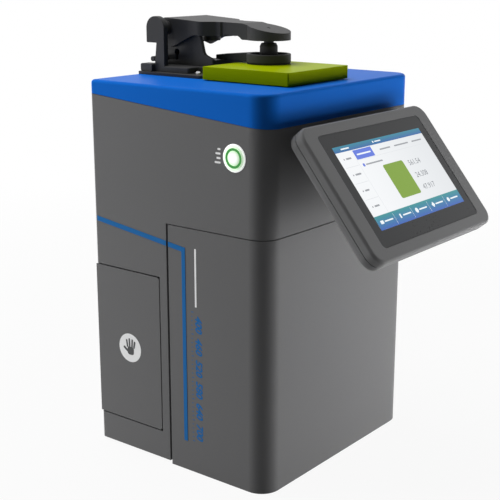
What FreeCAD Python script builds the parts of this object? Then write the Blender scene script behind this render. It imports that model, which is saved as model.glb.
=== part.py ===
import FreeCAD
import Part
import math
import os
import Sketcher

doc = FreeCAD.newDocument("BenchSpectrophotometer")
sheet = doc.addObject("Spreadsheet::Sheet", "Sizes")

# Driving dimensions in millimetres and degrees. Origin: middle of the footprint on the bench,
# front towards -Y, side door towards -X, +Z up. nearRound, lugRound and lugShoulder are shares.
driving = {
    # Housing, cover and lid
    "bodyWidth": 250.0, "bodyDepth": 220.0, "wall": 3.0,
    "frontCorner": 20.0, "rearCorner": 4.0,
    "coverBottom": 0.0, "housingBottom": 3.0,
    "seamHeight": 251.4, "seamGap": 0.8,
    "coverRearEdge": 9.5, "coverGap": 2.4,
    "lipThickness": 2.0, "lipOverlap": 7.0, "lipBottom": 8.0,
    "lidTopHeight": 384.0, "lidFrontDrop": 31.2, "lidRearDrop": 13.4,
    "lidRound": 3.5, "lidSeam": 0.3,
    "clearance": 0.3, "runningFit": 0.05, "nearRound": 0.98,
    # Base tray and feet
    "trayThickness": 2.5, "footRadius": 9.0, "footSpigot": 3.0,
    "footSpanWide": 200.0, "footSpanDeep": 176.0,
    # Side door and the chamber behind it
    "doorFrontEdge": 22.7, "doorBottom": 33.4, "doorBelowDeck": 18.6, "doorGap": 1.2,
    "doorThickness": 3.0, "doorCorner": 3.0, "doorReturn": 15.5,
    "doorHingeInset": 13.0, "doorHingeBack": 5.5, "doorBarrel": 3.0, "doorPin": 1.5,
    "doorBarrelLength": 14.0, "doorBarrelTab": 2.4, "doorwayMargin": 4.0, "hingeBossHeight": 6.0, "pinShort": 2.0,
    "chamberDepth": 60.0, "chamberWall": 2.0, "chamberMargin": 4.0, "chamberRearInset": 9.0, "chamberMouthGap": 1.0,
    "holderReach": 34.0, "holderHalf": 24.0, "holderFoot": 8.0, "holderCorner": 2.0,
    "holderPlate": 8.0, "holderPlateHalf": 20.0, "holderRise": 26.0,
    "cellBack": 26.0, "cellLong": 12.0, "cellHalf": 6.5, "cellFloor": 4.0,
    "catchDepth": 10.0, "catchFront": 3.2, "catchHalf": 12.0,
    "latchFront": 5.0, "latchRear": 2.0, "latchHalf": 9.0, "latchDepth": 2.0,
    # Test button
    "buttonForward": 73.5, "buttonBelowLid": 27.6, "bezelFlange": 2.6, "bezelProud": 1.2,
    "bezelTube": 1.6, "bezelFloor": 2.0, "lightRadius": 10.4, "lightSunk": 0.2, "lightShort": 2.0,
    "capRadius": 8.6, "capProud": 0.6, "capShort": 2.5, "capBevel": 0.7, "buttonDepth": 12.0, "buttonTravel": 2.0,
    # Measuring port and integrating sphere
    "portForward": 17.0, "portHole": 26.0, "portBore": 12.7, "portProud": 0.6, "portFlange": 31.0,
    "portFoot": 4.0, "portRim": 3.0, "portBevel": 1.5, "portLip": 1.0,
    "sphereRadius": 74.0, "sphereWall": 4.0, "sphereFlange": 3.0, "portDepth": 12.0, "sphereCut": 2.0,
    "sphereAboveDeck": 9.0, "cradleRing": 8.0, "deckThickness": 3.0, "deckHole": 29.6,
    "postRadius": 5.0, "postInset": 18.0, "postRear": 14.0, "postChamberGap": 10.0,
    "moduleGap": 4.0, "moduleCorner": 3.0,
    "lampWindow": 9.0, "lampWidth": 48.0, "lampInset": 10.0, "lampAboveWindow": 26.0, "lampSocket": 14.0,
    "spectrometerWidth": 76.0, "spectrometerHeight": 92.0,
    "supplyWidth": 144.0, "supplyDepth": 64.0, "supplyHeight": 26.0, "supplyInset": 21.0,
    "supplyFromRear": 26.0, "supplyCorner": 2.0,
    # Circuit boards, and the posts and blocks on them
    "boardHalf": 78.0, "boardFront": 78.0, "boardRear": 4.0, "boardRise": 8.0, "boardThickness": 1.6,
    "standInset": 5.0, "standRadius": 3.0, "standSeat": 0.2, "blockSeat": 0.6,
    "screenBoardHalf": 60.0, "screenBoardTall": 34.0, "screenStandHalf": 54.0, "screenStandTall": 28.0,
    "screenBlockHalf": 16.0, "screenBlockTall": 14.0, "screenBlockGap": 0.6,
    # Screen unit; its own frame has the hinge axis as origin and the screen face up
    "hingeForward": 18.04, "hingeBelowLid": 37.54, "screenDip": 51.09,
    "hingeStandOff": 9.0, "screenWidth": 216.6, "screenHeight": 140.9, "screenTopReach": 30.0,
    "screenThickness": 18.0, "screenSplit": 8.6, "screenSeam": 0.6, "screenCorner": 14.0,
    "shellRound": 5.0, "shellRim": 3.0, "shellLip": 2.0, "shellLipFit": 0.2, "shellLipBack": 1.3,
    "shellLipRoom": 2.2, "shellLipGap": 0.3, "shelfWall": 1.4, "glassShelf": 2.5, "glassCorner": 5.0,
    "glassGap": 0.1, "windowMargin": 4.0, "windowCorner": 2.0,
    "screenWall": 2.4, "glassSideMargin": 19.5, "glassTopMargin": 11.65, "glassLowMargin": 12.35,
    "glassThickness": 1.2, "glassSunk": 0.3, "panelSideMargin": 8.8, "panelEndMargin": 10.45,
    "panelThickness": 4.5, "hingePin": 3.0, "lugHalfGap": 22.0, "lugThickness": 7.0, "lugClearance": 1.0,
    "bracketThickness": 3.5, "bracketHalfWidth": 38.0, "bracketAbove": 18.0, "bracketBelow": 25.0,
    "bracketCorner": 5.0, "hingeBlockClear": 0.5,
    # Sample clamp
    "plateOverhang": 8.0, "plateFront": 24.0, "plateRear": 109.0, "plateThickness": 3.0, "plateCorner": 3.0,
    "bracketHalf": 50.0, "bracketFront": 8.0, "bracketRear": 2.0, "flangeThickness": 6.0,
    "cornerWide": 16.0, "cornerLong": 14.0, "flangeCorner": 2.0, "flangeNotch": 3.0, "flangeRear": 4.0,
    "flangeEdge": 1.2, "footReach": 5.0, "footHeight": 8.0, "footFrom": 1.0, "footCorner": 2.0,
    "cheekThickness": 6.0, "cheekRadius": 12.0, "cheekShelf": 23.0, "cheekFoot": 2.0, "cheekThroat": 1.5,
    "shelfCorner": 1.5, "pinCover": 2.0, "pinCollar": 4.0, "pinProud": 1.0, "spacerWall": 3.0,
    "rearPin": 2.6, "rearPinBack": 4.2, "rearPinRise": 6.6, "rearPinSink": 2.0,
    "pivotBack": 90.5, "pivotRise": 46.5, "pivotPin": 4.0,
    "frameClearance": 1.5, "frameWall": 4.0, "frameFront": 9.0, "frameFloor": 3.0, "frameBar": 6.0,
    "frameRear": 4.0, "frameRearRound": 4.0, "lugGap": 0.5, "lugNeck": 8.0, "lugRound": 0.96, "lugShoulder": 0.6,
    "webTop": 2.0, "webKneeY": 49.0, "webKneeRise": 30.0, "webKneeRound": 5.0, "webFootY": 44.5,
    "webFootRise": 12.0, "webFootRound": 6.0, "webFrontRise": 7.5, "webFrontRound": 2.0,
    "slimPost": 1.5, "slimPostDrop": 12.0, "slimPostRound": 3.0, "barGap": 0.2,
    "springHole": 3.4, "springBack": 10.0, "springRise": 13.0, "springDepth": 12.0, "springWall": 2.0,
    "springRound": 2.0, "slotHalf": 1.394, "slotRise": 5.0,
    "screwHead": 3.4, "screwInset": 7.0, "rearScrewInset": 14.0, "rearScrewForward": 9.0,
    "armHalf": 32.5, "armWall": 3.0, "armRoof": 2.2, "armRear": 8.5, "armTop": 10.5, "armFall": 3.3,
    "armRearRound": 7.0, "waistRound": 12.0, "gripRise": 3.2, "gripRound": 3.0, "gripStart": 4.0,
    "gripFront": 8.0, "gripRear": 24.0, "footY": 28.0, "footRise": 2.0, "bellyY": 55.0, "bellyRound": 6.0,
    "heelForward": 6.3, "heelDrop": 20.0, "heelRound": 2.0, "heelBack": 4.0, "heelBackDrop": 17.0,
    "tailDrop": 6.0, "tailRound": 4.0, "shoulderRound": 9.0,
    "collarStep": 2.0, "collarFrom": 1.5, "collarTo": 4.0, "collarEnd": 5.0, "collarRound": 4.0, "collarEdge": 1.0,
    "neckHalf": 17.0, "neckStart": 46.0, "neckTaper": 12.0, "neckDrop": 0.8, "headStart": 4.0,
    "stopRadius": 9.3, "stopBack": 57.4, "stopBelow": 3.4, "stopSink": 1.0,
    "roomDrop": 12.0, "roomFront": 3.5, "roomRound": 3.0, "guideDepth": 7.0,
    "topHole": 1.8, "topHoleSink": 2.5, "topHoleReach": 10.0,
    "grooveRadius": 3.0, "grooveFirst": 11.0, "groovePitch": 4.4, "grooveRise": 1.2,
    "headRadius": 22.0, "headBelowPivot": 9.7, "headAbovePivot": 2.0, "headSlope": 11.9,
    "spindleRadius": 5.0, "spindleReach": 4.0, "collarRadius": 9.0, "spindleTravel": 2.5, "collarGap": 0.5,
    "pressBevel": 1.0, "pressCone": 3.0, "pressTaper": 1.6,
    "ringRadius": 22.3, "ringHeight": 9.7, "ringRim": 3.3, "ringFloor": 5.0, "ringEdge": 0.6,
    "padThickness": 1.5, "padInset": 0.6, "tongueHalf": 9.0, "tongueRear": 44.0, "tongueRise": 6.2,
    "tongueBlend": 2.0, "tongueRound": 1.0,
    # Sample tile
    "tileWidth": 100.0, "tileDepth": 104.0, "tileThickness": 12.5,
    "tileLeft": 65.0, "tileBehindGap": 9.0, "tileCorner": 1.5,
    # Rear connector panel
    "panelInset": 21.0, "panelAcross": 94.0, "panelLow": 36.0, "panelTall": 64.0,
    "panelPlate": 1.5, "panelRim": 4.0, "panelCorner": 3.0, "fitGap": 0.2,
    "inletRight": 6.0, "inletLow": 8.0, "inletWide": 28.0, "inletTall": 20.0,
    "inletDepth": 20.0, "inletWell": 14.5, "inletRim": 3.0, "bladePitch": 7.0, "bladeHalf": 1.0,
    "bladeLow": 7.0, "bladeTall": 5.0, "bladeFrom": 1.0, "bladeLong": 15.0,
    "switchRight": 12.0, "switchLow": 38.0, "switchWide": 20.0, "switchTall": 14.0,
    "switchDepth": 14.0, "switchWell": 10.5, "switchRimWide": 2.0, "switchRimTall": 1.5,
    "flangeReach": 2.0, "flangePlate": 1.5, "inletCorner": 2.0, "switchCorner": 1.0,
    "rockerWide": 15.0, "rockerBack": 4.0, "rockerHeel": 4.3, "rockerToe": 4.7, "rockerToeOut": 1.6,
    "rockerDip": 0.4, "rockerHead": 4.2, "rockerHeadOut": 2.8, "rockerAxle": 1.5, "rockerAxleLong": 15.8,
    "rockerAxleIn": 3.0,
    "squareRight": 43.0, "squareLow": 10.0, "squareWide": 13.0, "squareTall": 12.0, "squareWall": 2.0,
    "flatRight": 41.0, "flatLow": 34.0, "flatWide": 15.0, "flatTall": 7.0, "flatWall": 1.0,
    "socketProud": 0.6, "socketLong": 15.0, "socketWell": 9.0,
    "ventInset": 4.0, "ventLong": 26.0, "ventLow": 10.0, "ventPitch": 7.0, "ventTall": 3.0,
    # Coloured stripe
    "stripeWidth": 5.0, "stripeDownWidth": 4.6, "stripeRearDrop": 4.2, "stripeTurnDrop": 19.6, "stripeTurnY": 12.3,
    "stripeEnd": 31.5, "stripeProud": 0.3,
}
for row, (alias, number) in enumerate(driving.items(), 1):
    sheet.set(f"A{row}", alias)
    sheet.set(f"B{row}", str(number))
    sheet.setAlias(f"B{row}", alias)
doc.recompute()


# A length or angle: the expression that reads it from the sheet, and its present value.
class Size:
    def __init__(self, text, number):
        self.text = text
        self.number = float(number)

    def __float__(self):
        return self.number

    def __add__(self, other):
        return Size(f"({self.text} + {size(other).text})", self.number + float(other))

    def __sub__(self, other):
        return Size(f"({self.text} - {size(other).text})", self.number - float(other))

    def __mul__(self, other):
        return Size(f"({self.text} * {size(other).text})", self.number * float(other))

    def __truediv__(self, other):
        return Size(f"({self.text} / {size(other).text})", self.number / float(other))

    def __neg__(self):
        return Size(f"(0 - {self.text})", -self.number)

    def __radd__(self, other):
        return size(other) + self

    def __rsub__(self, other):
        return size(other) - self


def size(value):
    if isinstance(value, Size):
        return value
    if isinstance(value, str):
        return Size(f"Sizes.{value}", sheet.get(value))
    return Size(repr(float(value)), value)


def tangent(angle):
    return Size(f"tan({angle.text})", math.tan(math.radians(float(angle))))


def bind(item, name, value):
    item.setExpression(name, size(value).text)


def body(label):
    item = doc.addObject("PartDesign::Body", label)
    item.Label = label
    return item


def sketch(owner, plane, start):
    item = owner.newObject("Sketcher::SketchObject", "Sketch")
    flat = next(f for f in owner.Origin.OriginFeatures if f.Role == plane + "_Plane")
    item.AttachmentSupport = [(flat, "")]
    item.MapMode = "FlatFace"
    bind(item, "AttachmentOffset.Base.z", start)
    return item


def fix(item, kind, value, *where):
    index = item.addConstraint(Sketcher.Constraint(kind, *where, float(value)))
    bind(item, f"Constraints[{index}]", value)


# A closed outline of straight sides; a corner given as (x, y, radius) is rounded.
def outline(item, corners):
    spots = [FreeCAD.Vector(float(c[0]), float(c[1]), 0) for c in corners]
    count = len(corners)
    starts, ends, arcs = {}, {}, {}
    for i, corner in enumerate(corners):
        before, here, after = spots[i - 1], spots[i], spots[(i + 1) % count]
        if len(corner) < 3:
            starts[i] = ends[i] = here
            continue
        back, ahead = (before - here).normalize(), (after - here).normalize()
        half = back.getAngle(ahead) / 2
        reach = float(corner[2]) / math.tan(half)
        middle = here + (back + ahead).normalize() * (float(corner[2]) / math.sin(half))
        ends[i], starts[i] = here + back * reach, here + ahead * reach
        bulge = middle + (here - middle).normalize() * float(corner[2])
        arcs[i] = Part.Arc(ends[i], bulge, starts[i])
    sides = [item.addGeometry(Part.LineSegment(starts[i], ends[(i + 1) % count])) for i in range(count)]
    for i, corner in enumerate(corners):
        before, after = sides[i - 1], sides[i]
        if i not in arcs:
            item.addConstraint(Sketcher.Constraint("Coincident", before, 2, after, 1))
            fix(item, "DistanceX", corner[0], -1, 1, after, 1)
            fix(item, "DistanceY", corner[1], -1, 1, after, 1)
            continue
        arc = item.addGeometry(arcs[i])
        # The arc runs from the side before to the side after; its ends swap when it turns clockwise.
        first = 1 if (item.getPoint(arc, 1) - ends[i]).Length < 1e-6 else 2
        item.addConstraint(Sketcher.Constraint("Tangent", before, 2, arc, first))
        item.addConstraint(Sketcher.Constraint("Tangent", arc, 3 - first, after, 1))
        fix(item, "Radius", corner[2], arc)
        point = item.addGeometry(Part.Point(spots[i]), True)
        item.addConstraint(Sketcher.Constraint("PointOnObject", point, 1, before))
        item.addConstraint(Sketcher.Constraint("PointOnObject", point, 1, after))
        fix(item, "DistanceX", corner[0], -1, 1, point, 1)
        fix(item, "DistanceY", corner[1], -1, 1, point, 1)


def circle(item, x, y, radius):
    ring = item.addGeometry(Part.Circle(FreeCAD.Vector(float(x), float(y), 0),
                                        FreeCAD.Vector(0, 0, 1), float(radius)))
    fix(item, "DistanceX", x, -1, 1, ring, 3)
    fix(item, "DistanceY", y, -1, 1, ring, 3)
    fix(item, "Radius", radius, ring)


def draw(owner, plane, start, shapes):
    item = sketch(owner, plane, start)
    for shape in shapes:
        if isinstance(shape, tuple):
            circle(item, *shape)
        else:
            outline(item, shape)
    return item


# Adds material from start along the plane's normal. A tuple is a circle, a list is an outline.
def pad(owner, plane, start, length, *shapes):
    item = owner.newObject("PartDesign::Pad", "Pad")
    item.Profile = draw(owner, plane, start, shapes)
    bind(item, "Length", length)
    doc.recompute()
    return item


# Removes material from start along the plane's normal, and checks that some went. Calls start it
# 1 mm outside the face that they cut.
def pocket(owner, plane, start, length, *shapes):
    whole = owner.Shape.Volume
    item = owner.newObject("PartDesign::Pocket", "Pocket")
    item.Profile = draw(owner, plane, start, shapes)
    item.Reversed = True
    bind(item, "Length", length)
    doc.recompute()
    if owner.Shape.Volume > whole - 0.01:
        raise RuntimeError(f"{owner.Label}: a pocket cut nothing")
    return item


def turned(owner, corners):
    item = owner.newObject("PartDesign::Revolution", "Revolution")
    section = draw(owner, "XZ", 0, [corners])
    item.Profile = section
    item.ReferenceAxis = (section, ["V_Axis"])
    doc.recompute()
    return item


def soften(owner, radius, picks, kind="Fillet"):
    base = owner.Tip
    names = [f"Edge{i}" for i, edge in enumerate(base.Shape.Edges, 1) if picks(edge)]
    item = owner.newObject("PartDesign::" + kind, kind)
    item.Base = (base, names)
    bind(item, "Radius" if kind == "Fillet" else "Size", radius)
    doc.recompute()
    return item


def at(edge, axis, value, slack=0.01):
    box = edge.BoundBox
    low, high = (box.XMin, box.YMin, box.ZMin)[axis], (box.XMax, box.YMax, box.ZMax)[axis]
    return abs(low - float(value)) < slack and abs(high - float(value)) < slack


def rect(x0, x1, y0, y1, r=None):
    corners = [(x0, y0), (x1, y0), (x1, y1), (x0, y1)]
    return corners if r is None else [c + (r,) for c in corners]


def boolean(kind, label, *items):
    item = doc.addObject("Part::" + kind, label)
    item.Label = label
    if kind in ("MultiFuse", "MultiCommon"):
        item.Shapes = list(items)
    else:
        item.Base, item.Tool = items
    doc.recompute()
    return item


S = size
half = S("bodyWidth") / 2
deep = S("bodyDepth") / 2
clear = S("clearance")


# The plan of the housing, set in from its outer face by some amount.
def plan(inset):
    front = S("frontCorner") - inset
    rear = S("rearCorner") - inset
    side, back = half - inset, deep - inset
    corners = [(-side, -back, front), (side, -back, front), (side, back), (-side, back)]
    if float(rear) > 0.2:
        corners[2:] = [(side, back, rear), (-side, back, rear)]
    return corners


# The front part of the same plan, open towards the rear, as a band of some thickness.
def band(inset, thickness, rear):
    outer, inner = half - inset, half - inset - thickness
    front = S("frontCorner") - inset
    return [(-outer, rear), (-outer, -(deep - inset), front), (outer, -(deep - inset), front),
            (outer, rear), (inner, rear), (inner, -(deep - inset - thickness), front - thickness),
            (-inner, -(deep - inset - thickness), front - thickness), (-inner, rear)]


coverTop = S("seamHeight")
lidTop = S("lidTopHeight")
lidFront = lidTop - S("lidFrontDrop")
lidRear = lidTop - S("lidRearDrop")
upperBottom = coverTop + S("seamGap")
rearStart = S("coverRearEdge") + S("coverGap")

# Heights and places that several pieces share.
portY = -S("portForward")
lidUnder = lidTop - S("wall")
sphereFlat = lidTop - S("portDepth")
sphereHeight = sphereFlat + S("sphereCut") - S("sphereRadius")
sphereBevel = S("sphereRadius") * (2 - math.sqrt(2))
moduleNear = S("sphereRadius") + S("sphereFlange") + clear
deckTop = sphereHeight - S("sphereRadius") - S("sphereAboveDeck")
deckLow = deckTop - S("deckThickness")
doorLow = S("doorBottom")
doorHigh = deckLow - S("doorBelowDeck")
buttonY = -S("buttonForward")
buttonZ = lidFront - S("buttonBelowLid")
bezelTube = S("lightRadius") + S("bezelTube")
panelRight = half - S("panelInset")
panelLeft = panelRight - S("panelAcross")
panelLow = S("panelLow")


def make_main_housing():
    item = body("main_housing")
    pad(item, "XY", upperBottom, lidTop - upperBottom, plan(S(0)), plan(S("wall")))
    outer, inner, back = half, half - S("wall"), deep - S("wall")
    rear = S("rearCorner")
    pad(item, "XY", S("housingBottom"), upperBottom - S("housingBottom"),
        [(-outer, rearStart), (-outer, deep, rear), (outer, deep, rear), (outer, rearStart),
         (inner, rearStart), (inner, back), (-inner, back), (-inner, rearStart)])
    lipFront = S("coverRearEdge") - S("lipOverlap")
    lipTop = upperBottom + S("wall")
    lip = band(S("wall"), S("lipThickness"), rearStart + S("wall"))
    pad(item, "XY", coverTop - S("lipOverlap"), lipTop - coverTop + S("lipOverlap"), lip)
    for side in (1, -1):
        edge = inner * side
        far = (inner - S("lipThickness")) * side
        low, high = (far, edge) if side > 0 else (edge, far)
        pad(item, "XY", S("lipBottom"), coverTop - S("lipBottom"),
            rect(low, high, lipFront, rearStart + S("wall")))
    fall = S("lidSeam")
    pocket(item, "YZ", -half - 1, S("bodyWidth") + 2,
           [(-deep - 1, lidFront - fall), (deep + 1, lidRear - fall),
            (deep + 1, lidTop + 1), (-deep - 1, lidTop + 1)])
    gap = S("doorGap")
    pocket(item, "YZ", -half - 1, S("doorReturn") + S("doorwayMargin") + 1,
           rect(S("doorFrontEdge") - gap, deep + 1, doorLow - gap, doorHigh + gap))
    pocket(item, "YZ", -half - 1, S("wall") + 2, (buttonY, buttonZ, bezelTube + clear))
    pocket(item, "XZ", -deep - 1, S("wall") + 2,
           rect(panelLeft, panelRight, panelLow, panelLow + S("panelTall"), S("rearCorner")))
    return item


def make_front_cover():
    item = body("front_cover")
    pad(item, "XY", S("coverBottom"), coverTop - S("coverBottom"),
        band(S(0), S("wall"), S("coverRearEdge")))
    return item


def make_lid():
    item = body("lid")
    pad(item, "XY", lidFront, lidTop - lidFront, plan(S(0)))
    soften(item, S("lidRound"), lambda e: at(e, 2, lidTop))
    pocket(item, "XY", lidFront, lidTop - lidFront - S("wall"), plan(S("wall")))
    pocket(item, "YZ", -half - 1, S("bodyWidth") + 2,
           [(-deep, lidFront - 1), (deep + 1, lidFront - 1), (deep + 1, lidRear), (deep, lidRear),
            (-deep, lidFront)])
    pocket(item, "XY", lidUnder - 1, S("wall") + 2, (S(0), portY, S("portHole")))
    return item


def feet_spots():
    wide, long = S("footSpanWide") / 2, S("footSpanDeep") / 2
    return [(x * wide, y * long) for x in (S(-1), S(1)) for y in (S(-1), S(1))]


def make_base_tray():
    item = body("base_tray")
    pad(item, "XY", S("housingBottom"), S("trayThickness"), plan(S("wall") + clear))
    pocket(item, "XY", S("housingBottom") - 1, S("trayThickness") + 2,
           *[(x, y, S("footSpigot")) for x, y in feet_spots()])
    return item


def make_rubber_feet():
    parts = []
    for number, (x, y) in enumerate(feet_spots(), 1):
        foot = body(f"foot_{number}")
        pad(foot, "XY", S(0), S("housingBottom"), (x, y, S("footRadius")))
        pad(foot, "XY", S("housingBottom"), S("trayThickness") + 1, (x, y, S("footSpigot")))
        parts.append(foot)
    return parts


# Side door: a panel with a return round the rear corner, hung on two upright pins.
doorAxisX = -half + S("doorHingeInset")
doorAxisY = deep - S("doorHingeBack")


def make_side_door():
    item = body("side_door")
    edge = S("doorFrontEdge")
    thick = S("doorThickness")
    pad(item, "YZ", -half, thick,
        [(edge, doorLow, S("doorCorner")), (deep, doorLow), (deep, doorHigh),
         (edge, doorHigh, S("doorCorner"))])
    pad(item, "XY", doorLow, doorHigh - doorLow,
        rect(-half, -half + S("doorReturn"), deep - thick, deep))
    for low in (doorLow, doorHigh - S("doorBarrelLength")):
        pad(item, "XY", low, S("doorBarrelLength"),
            rect(doorAxisX - S("doorBarrel"), doorAxisX + S("doorBarrelTab"), doorAxisY, deep - thick / 2))
        pad(item, "XY", low, S("doorBarrelLength"), (doorAxisX, doorAxisY, S("doorBarrel")))
    pocket(item, "XY", doorLow - 1, doorHigh - doorLow + 2,
           (doorAxisX, doorAxisY, S("doorPin") + S("runningFit")))
    return item


def make_door_hinge_bosses():
    parts = []
    gap = S("doorGap")
    for name, low in (("lower", doorLow - gap - S("hingeBossHeight")), ("upper", doorHigh + gap)):
        boss = body(f"hinge_boss_{name}")
        reach = S("doorBarrel") * 2
        pad(boss, "XY", low, S("hingeBossHeight"),
            rect(doorAxisX - reach, doorAxisX + reach, doorAxisY - reach, deep - S("wall")))
        pocket(boss, "XY", low - 1, S("hingeBossHeight") + 2, (doorAxisX, doorAxisY, S("doorPin")))
        parts.append(boss)
    return parts


def make_door_hinge_pins():
    parts = []
    gap = S("doorGap")
    reach = S("hingeBossHeight") + gap + S("doorBarrelLength") - S("pinShort")
    for name, low in (("lower", doorLow - gap - S("hingeBossHeight")),
                      ("upper", doorHigh - S("doorBarrelLength") + S("pinShort"))):
        pin = body(f"door_pin_{name}")
        pad(pin, "XY", low, reach, (doorAxisX, doorAxisY, S("doorPin")))
        parts.append(pin)
    return parts


chamberFront = S("doorFrontEdge") + S("chamberMargin")
chamberRear = deep - S("wall") - S("chamberRearInset")
chamberLow = doorLow + S("chamberMargin")
chamberHigh = doorHigh - S("chamberMargin")
chamberMouth = -half + S("doorThickness") + S("chamberMouthGap")


def make_chamber_liner():
    item = body("chamber_liner")
    wall = S("chamberWall")
    pad(item, "YZ", chamberMouth, S("chamberDepth"),
        rect(chamberFront, chamberRear, chamberLow, chamberHigh))
    pocket(item, "YZ", chamberMouth - 1, S("chamberDepth") - wall + 1,
           rect(chamberFront + wall, chamberRear - wall, chamberLow + wall, chamberHigh - wall))
    pocket(item, "YZ", chamberMouth, S("chamberDepth") + 1,
           ((chamberFront + chamberRear) / 2, (chamberLow + chamberHigh) / 2, S("portBore")))
    return item


def make_cell_holder():
    item = body("cell_holder")
    middle = (chamberFront + chamberRear) / 2
    floor = chamberLow + S("chamberWall")
    centre = (chamberLow + chamberHigh) / 2
    back = chamberMouth + S("chamberDepth") - S("chamberWall")
    reach, wide, foot = S("holderReach"), S("holderHalf"), S("holderFoot")
    plate, narrow, cell = S("holderPlate"), S("holderPlateHalf"), S("cellHalf")
    pad(item, "YZ", back - reach, reach, rect(middle - wide, middle + wide, floor, floor + foot, S("holderCorner")))
    pad(item, "YZ", back - plate, plate,
        rect(middle - narrow, middle + narrow, floor + foot, centre + S("holderRise")))
    pocket(item, "YZ", back - plate - 1, plate + 2, (middle, centre, S("portBore")))
    pocket(item, "YZ", back - S("cellBack"), S("cellLong"),
           rect(middle - cell, middle + cell, floor + S("cellFloor"), floor + foot + 1))
    return item


def make_door_catch():
    item = body("door_catch")
    middle = (chamberLow + chamberHigh) / 2
    inner = -half + S("doorThickness") + clear
    wide, narrow = S("catchHalf"), S("latchHalf")
    pad(item, "YZ", inner, S("catchDepth"),
        rect(rearStart + S("catchFront"), chamberFront, middle - wide, middle + wide))
    pocket(item, "YZ", inner - 1, S("latchDepth") + 1,
           rect(rearStart + S("latchFront"), chamberFront - S("latchRear"), middle - narrow, middle + narrow))
    return item


# Test button in the left wall.
def make_button_bezel():
    item = body("button_bezel")
    pad(item, "YZ", -half - S("bezelProud"), S("bezelProud"),
        (buttonY, buttonZ, S("lightRadius") + S("bezelFlange")))
    pad(item, "YZ", -half, S("buttonDepth"), (buttonY, buttonZ, bezelTube))
    pocket(item, "YZ", -half - S("bezelProud") - 1, S("bezelProud") + S("buttonDepth") + 1 - S("bezelFloor"),
           (buttonY, buttonZ, S("lightRadius") + clear))
    return item


def make_button_light_ring():
    item = body("button_light_ring")
    pad(item, "YZ", -half - S("bezelProud") + S("lightSunk"), S("buttonDepth") - S("lightShort"),
        (buttonY, buttonZ, S("lightRadius")), (buttonY, buttonZ, S("capRadius") + clear))
    return item


def make_test_button():
    item = body("test_button")
    face = -half - S("bezelProud") - S("capProud")
    pad(item, "YZ", face, S("buttonDepth") - S("buttonTravel") - S("capShort"), (buttonY, buttonZ, S("capRadius")))
    soften(item, S("capBevel"), lambda e: at(e, 0, face), "Chamfer")
    return item


# Measuring port, sphere and the optics behind it.
def make_port_ring():
    item = body("port_ring")
    bore, rim = S("portBore"), S("portHole") - clear
    flange, top = S("portFlange"), lidTop + S("portProud")
    turned(item, [(bore, sphereFlat), (bore + S("portFoot"), sphereFlat), (flange, lidUnder - S("portRim")),
                  (flange, lidUnder), (rim, lidUnder), (rim, top), (bore + S("portBevel"), top),
                  (bore, lidTop - S("portLip"))])
    bind(item, "Placement.Base.y", portY)
    return item


# A cast barrel of octagonal profile with a flange round its waist, bored out to a ball that opens
# at the top for the sample and at the side for the lamp.
def make_integrating_sphere():
    item = body("sphere_casting")
    outer, low = S("sphereRadius"), sphereHeight - S("sphereRadius")
    bevel, flange = sphereBevel, S("sphereFlange")
    turned(item, [(S(0), low), (outer - bevel, low), (outer, low + bevel), (outer, sphereHeight - flange),
                  (outer + flange, sphereHeight - flange), (outer + flange, sphereHeight + flange),
                  (outer, sphereHeight + flange), (outer, sphereHeight + outer - bevel),
                  (S("portFlange"), sphereFlat), (S(0), sphereFlat)])
    bind(item, "Placement.Base.y", portY)
    ball = doc.addObject("Part::Sphere", "sphere_ball")
    bind(ball, "Radius", outer - S("sphereWall"))
    bore = doc.addObject("Part::Cylinder", "sphere_bore")
    bind(bore, "Radius", S("portBore"))
    bind(bore, "Height", outer * 2)
    window = doc.addObject("Part::Cylinder", "lamp_window")
    bind(window, "Radius", S("lampWindow"))
    bind(window, "Height", outer * 2)
    window.Placement.Rotation = FreeCAD.Rotation(FreeCAD.Vector(0, 1, 0), 90)
    tools = [ball, bore, window]
    for tool in tools:
        bind(tool, "Placement.Base.y", portY)
        bind(tool, "Placement.Base.z", sphereHeight)
    doc.recompute()
    return boolean("Cut", "integrating_sphere", item, boolean("MultiFuse", "sphere_voids", *tools))


def make_sphere_cradle():
    item = body("sphere_cradle")
    seat = S("sphereRadius") - sphereBevel
    pad(item, "XY", deckTop, S("sphereAboveDeck"), (S(0), portY, seat), (S(0), portY, seat - S("cradleRing")))
    return item


def deck_posts():
    side, front, rear = half - S("postInset"), -(deep - S("postInset")), deep - S("postRear")
    left = chamberMouth + S("chamberDepth") + S("postChamberGap")
    return [(-side, front), (side, front), (side, rear), (left, rear)]


def make_optics_deck():
    item = body("optics_deck")
    margin = S("wall") + S("lipThickness") + clear
    pad(item, "XY", deckLow, S("deckThickness"), plan(margin))
    pocket(item, "XY", deckLow - 1, S("deckThickness") + 2, (S(0), portY, S("deckHole")))
    return item


def make_deck_posts():
    parts = []
    floor = S("housingBottom") + S("trayThickness")
    for number, (x, y) in enumerate(deck_posts(), 1):
        post = body(f"deck_post_{number}")
        pad(post, "XY", floor, deckLow - floor, (x, y, S("postRadius")))
        parts.append(post)
    return parts


def make_spectrometer():
    item = body("spectrometer_module")
    wide = S("spectrometerWidth") / 2
    pad(item, "XY", deckTop, S("spectrometerHeight"),
        rect(-wide, wide, portY + moduleNear, deep - S("wall") - S("moduleGap"), S("moduleCorner")))
    return item


def make_lamp_module():
    item = body("lamp_module")
    wide = S("lampWidth") / 2
    pad(item, "XY", deckTop, sphereHeight - deckTop + S("lampAboveWindow"),
        rect(moduleNear, half - S("wall") - S("lampInset"), portY - wide, portY + wide, S("moduleCorner")))
    pocket(item, "YZ", moduleNear - 1, S("lampSocket") + 1, (portY, sphereHeight, S("lampWindow")))
    return item


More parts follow.
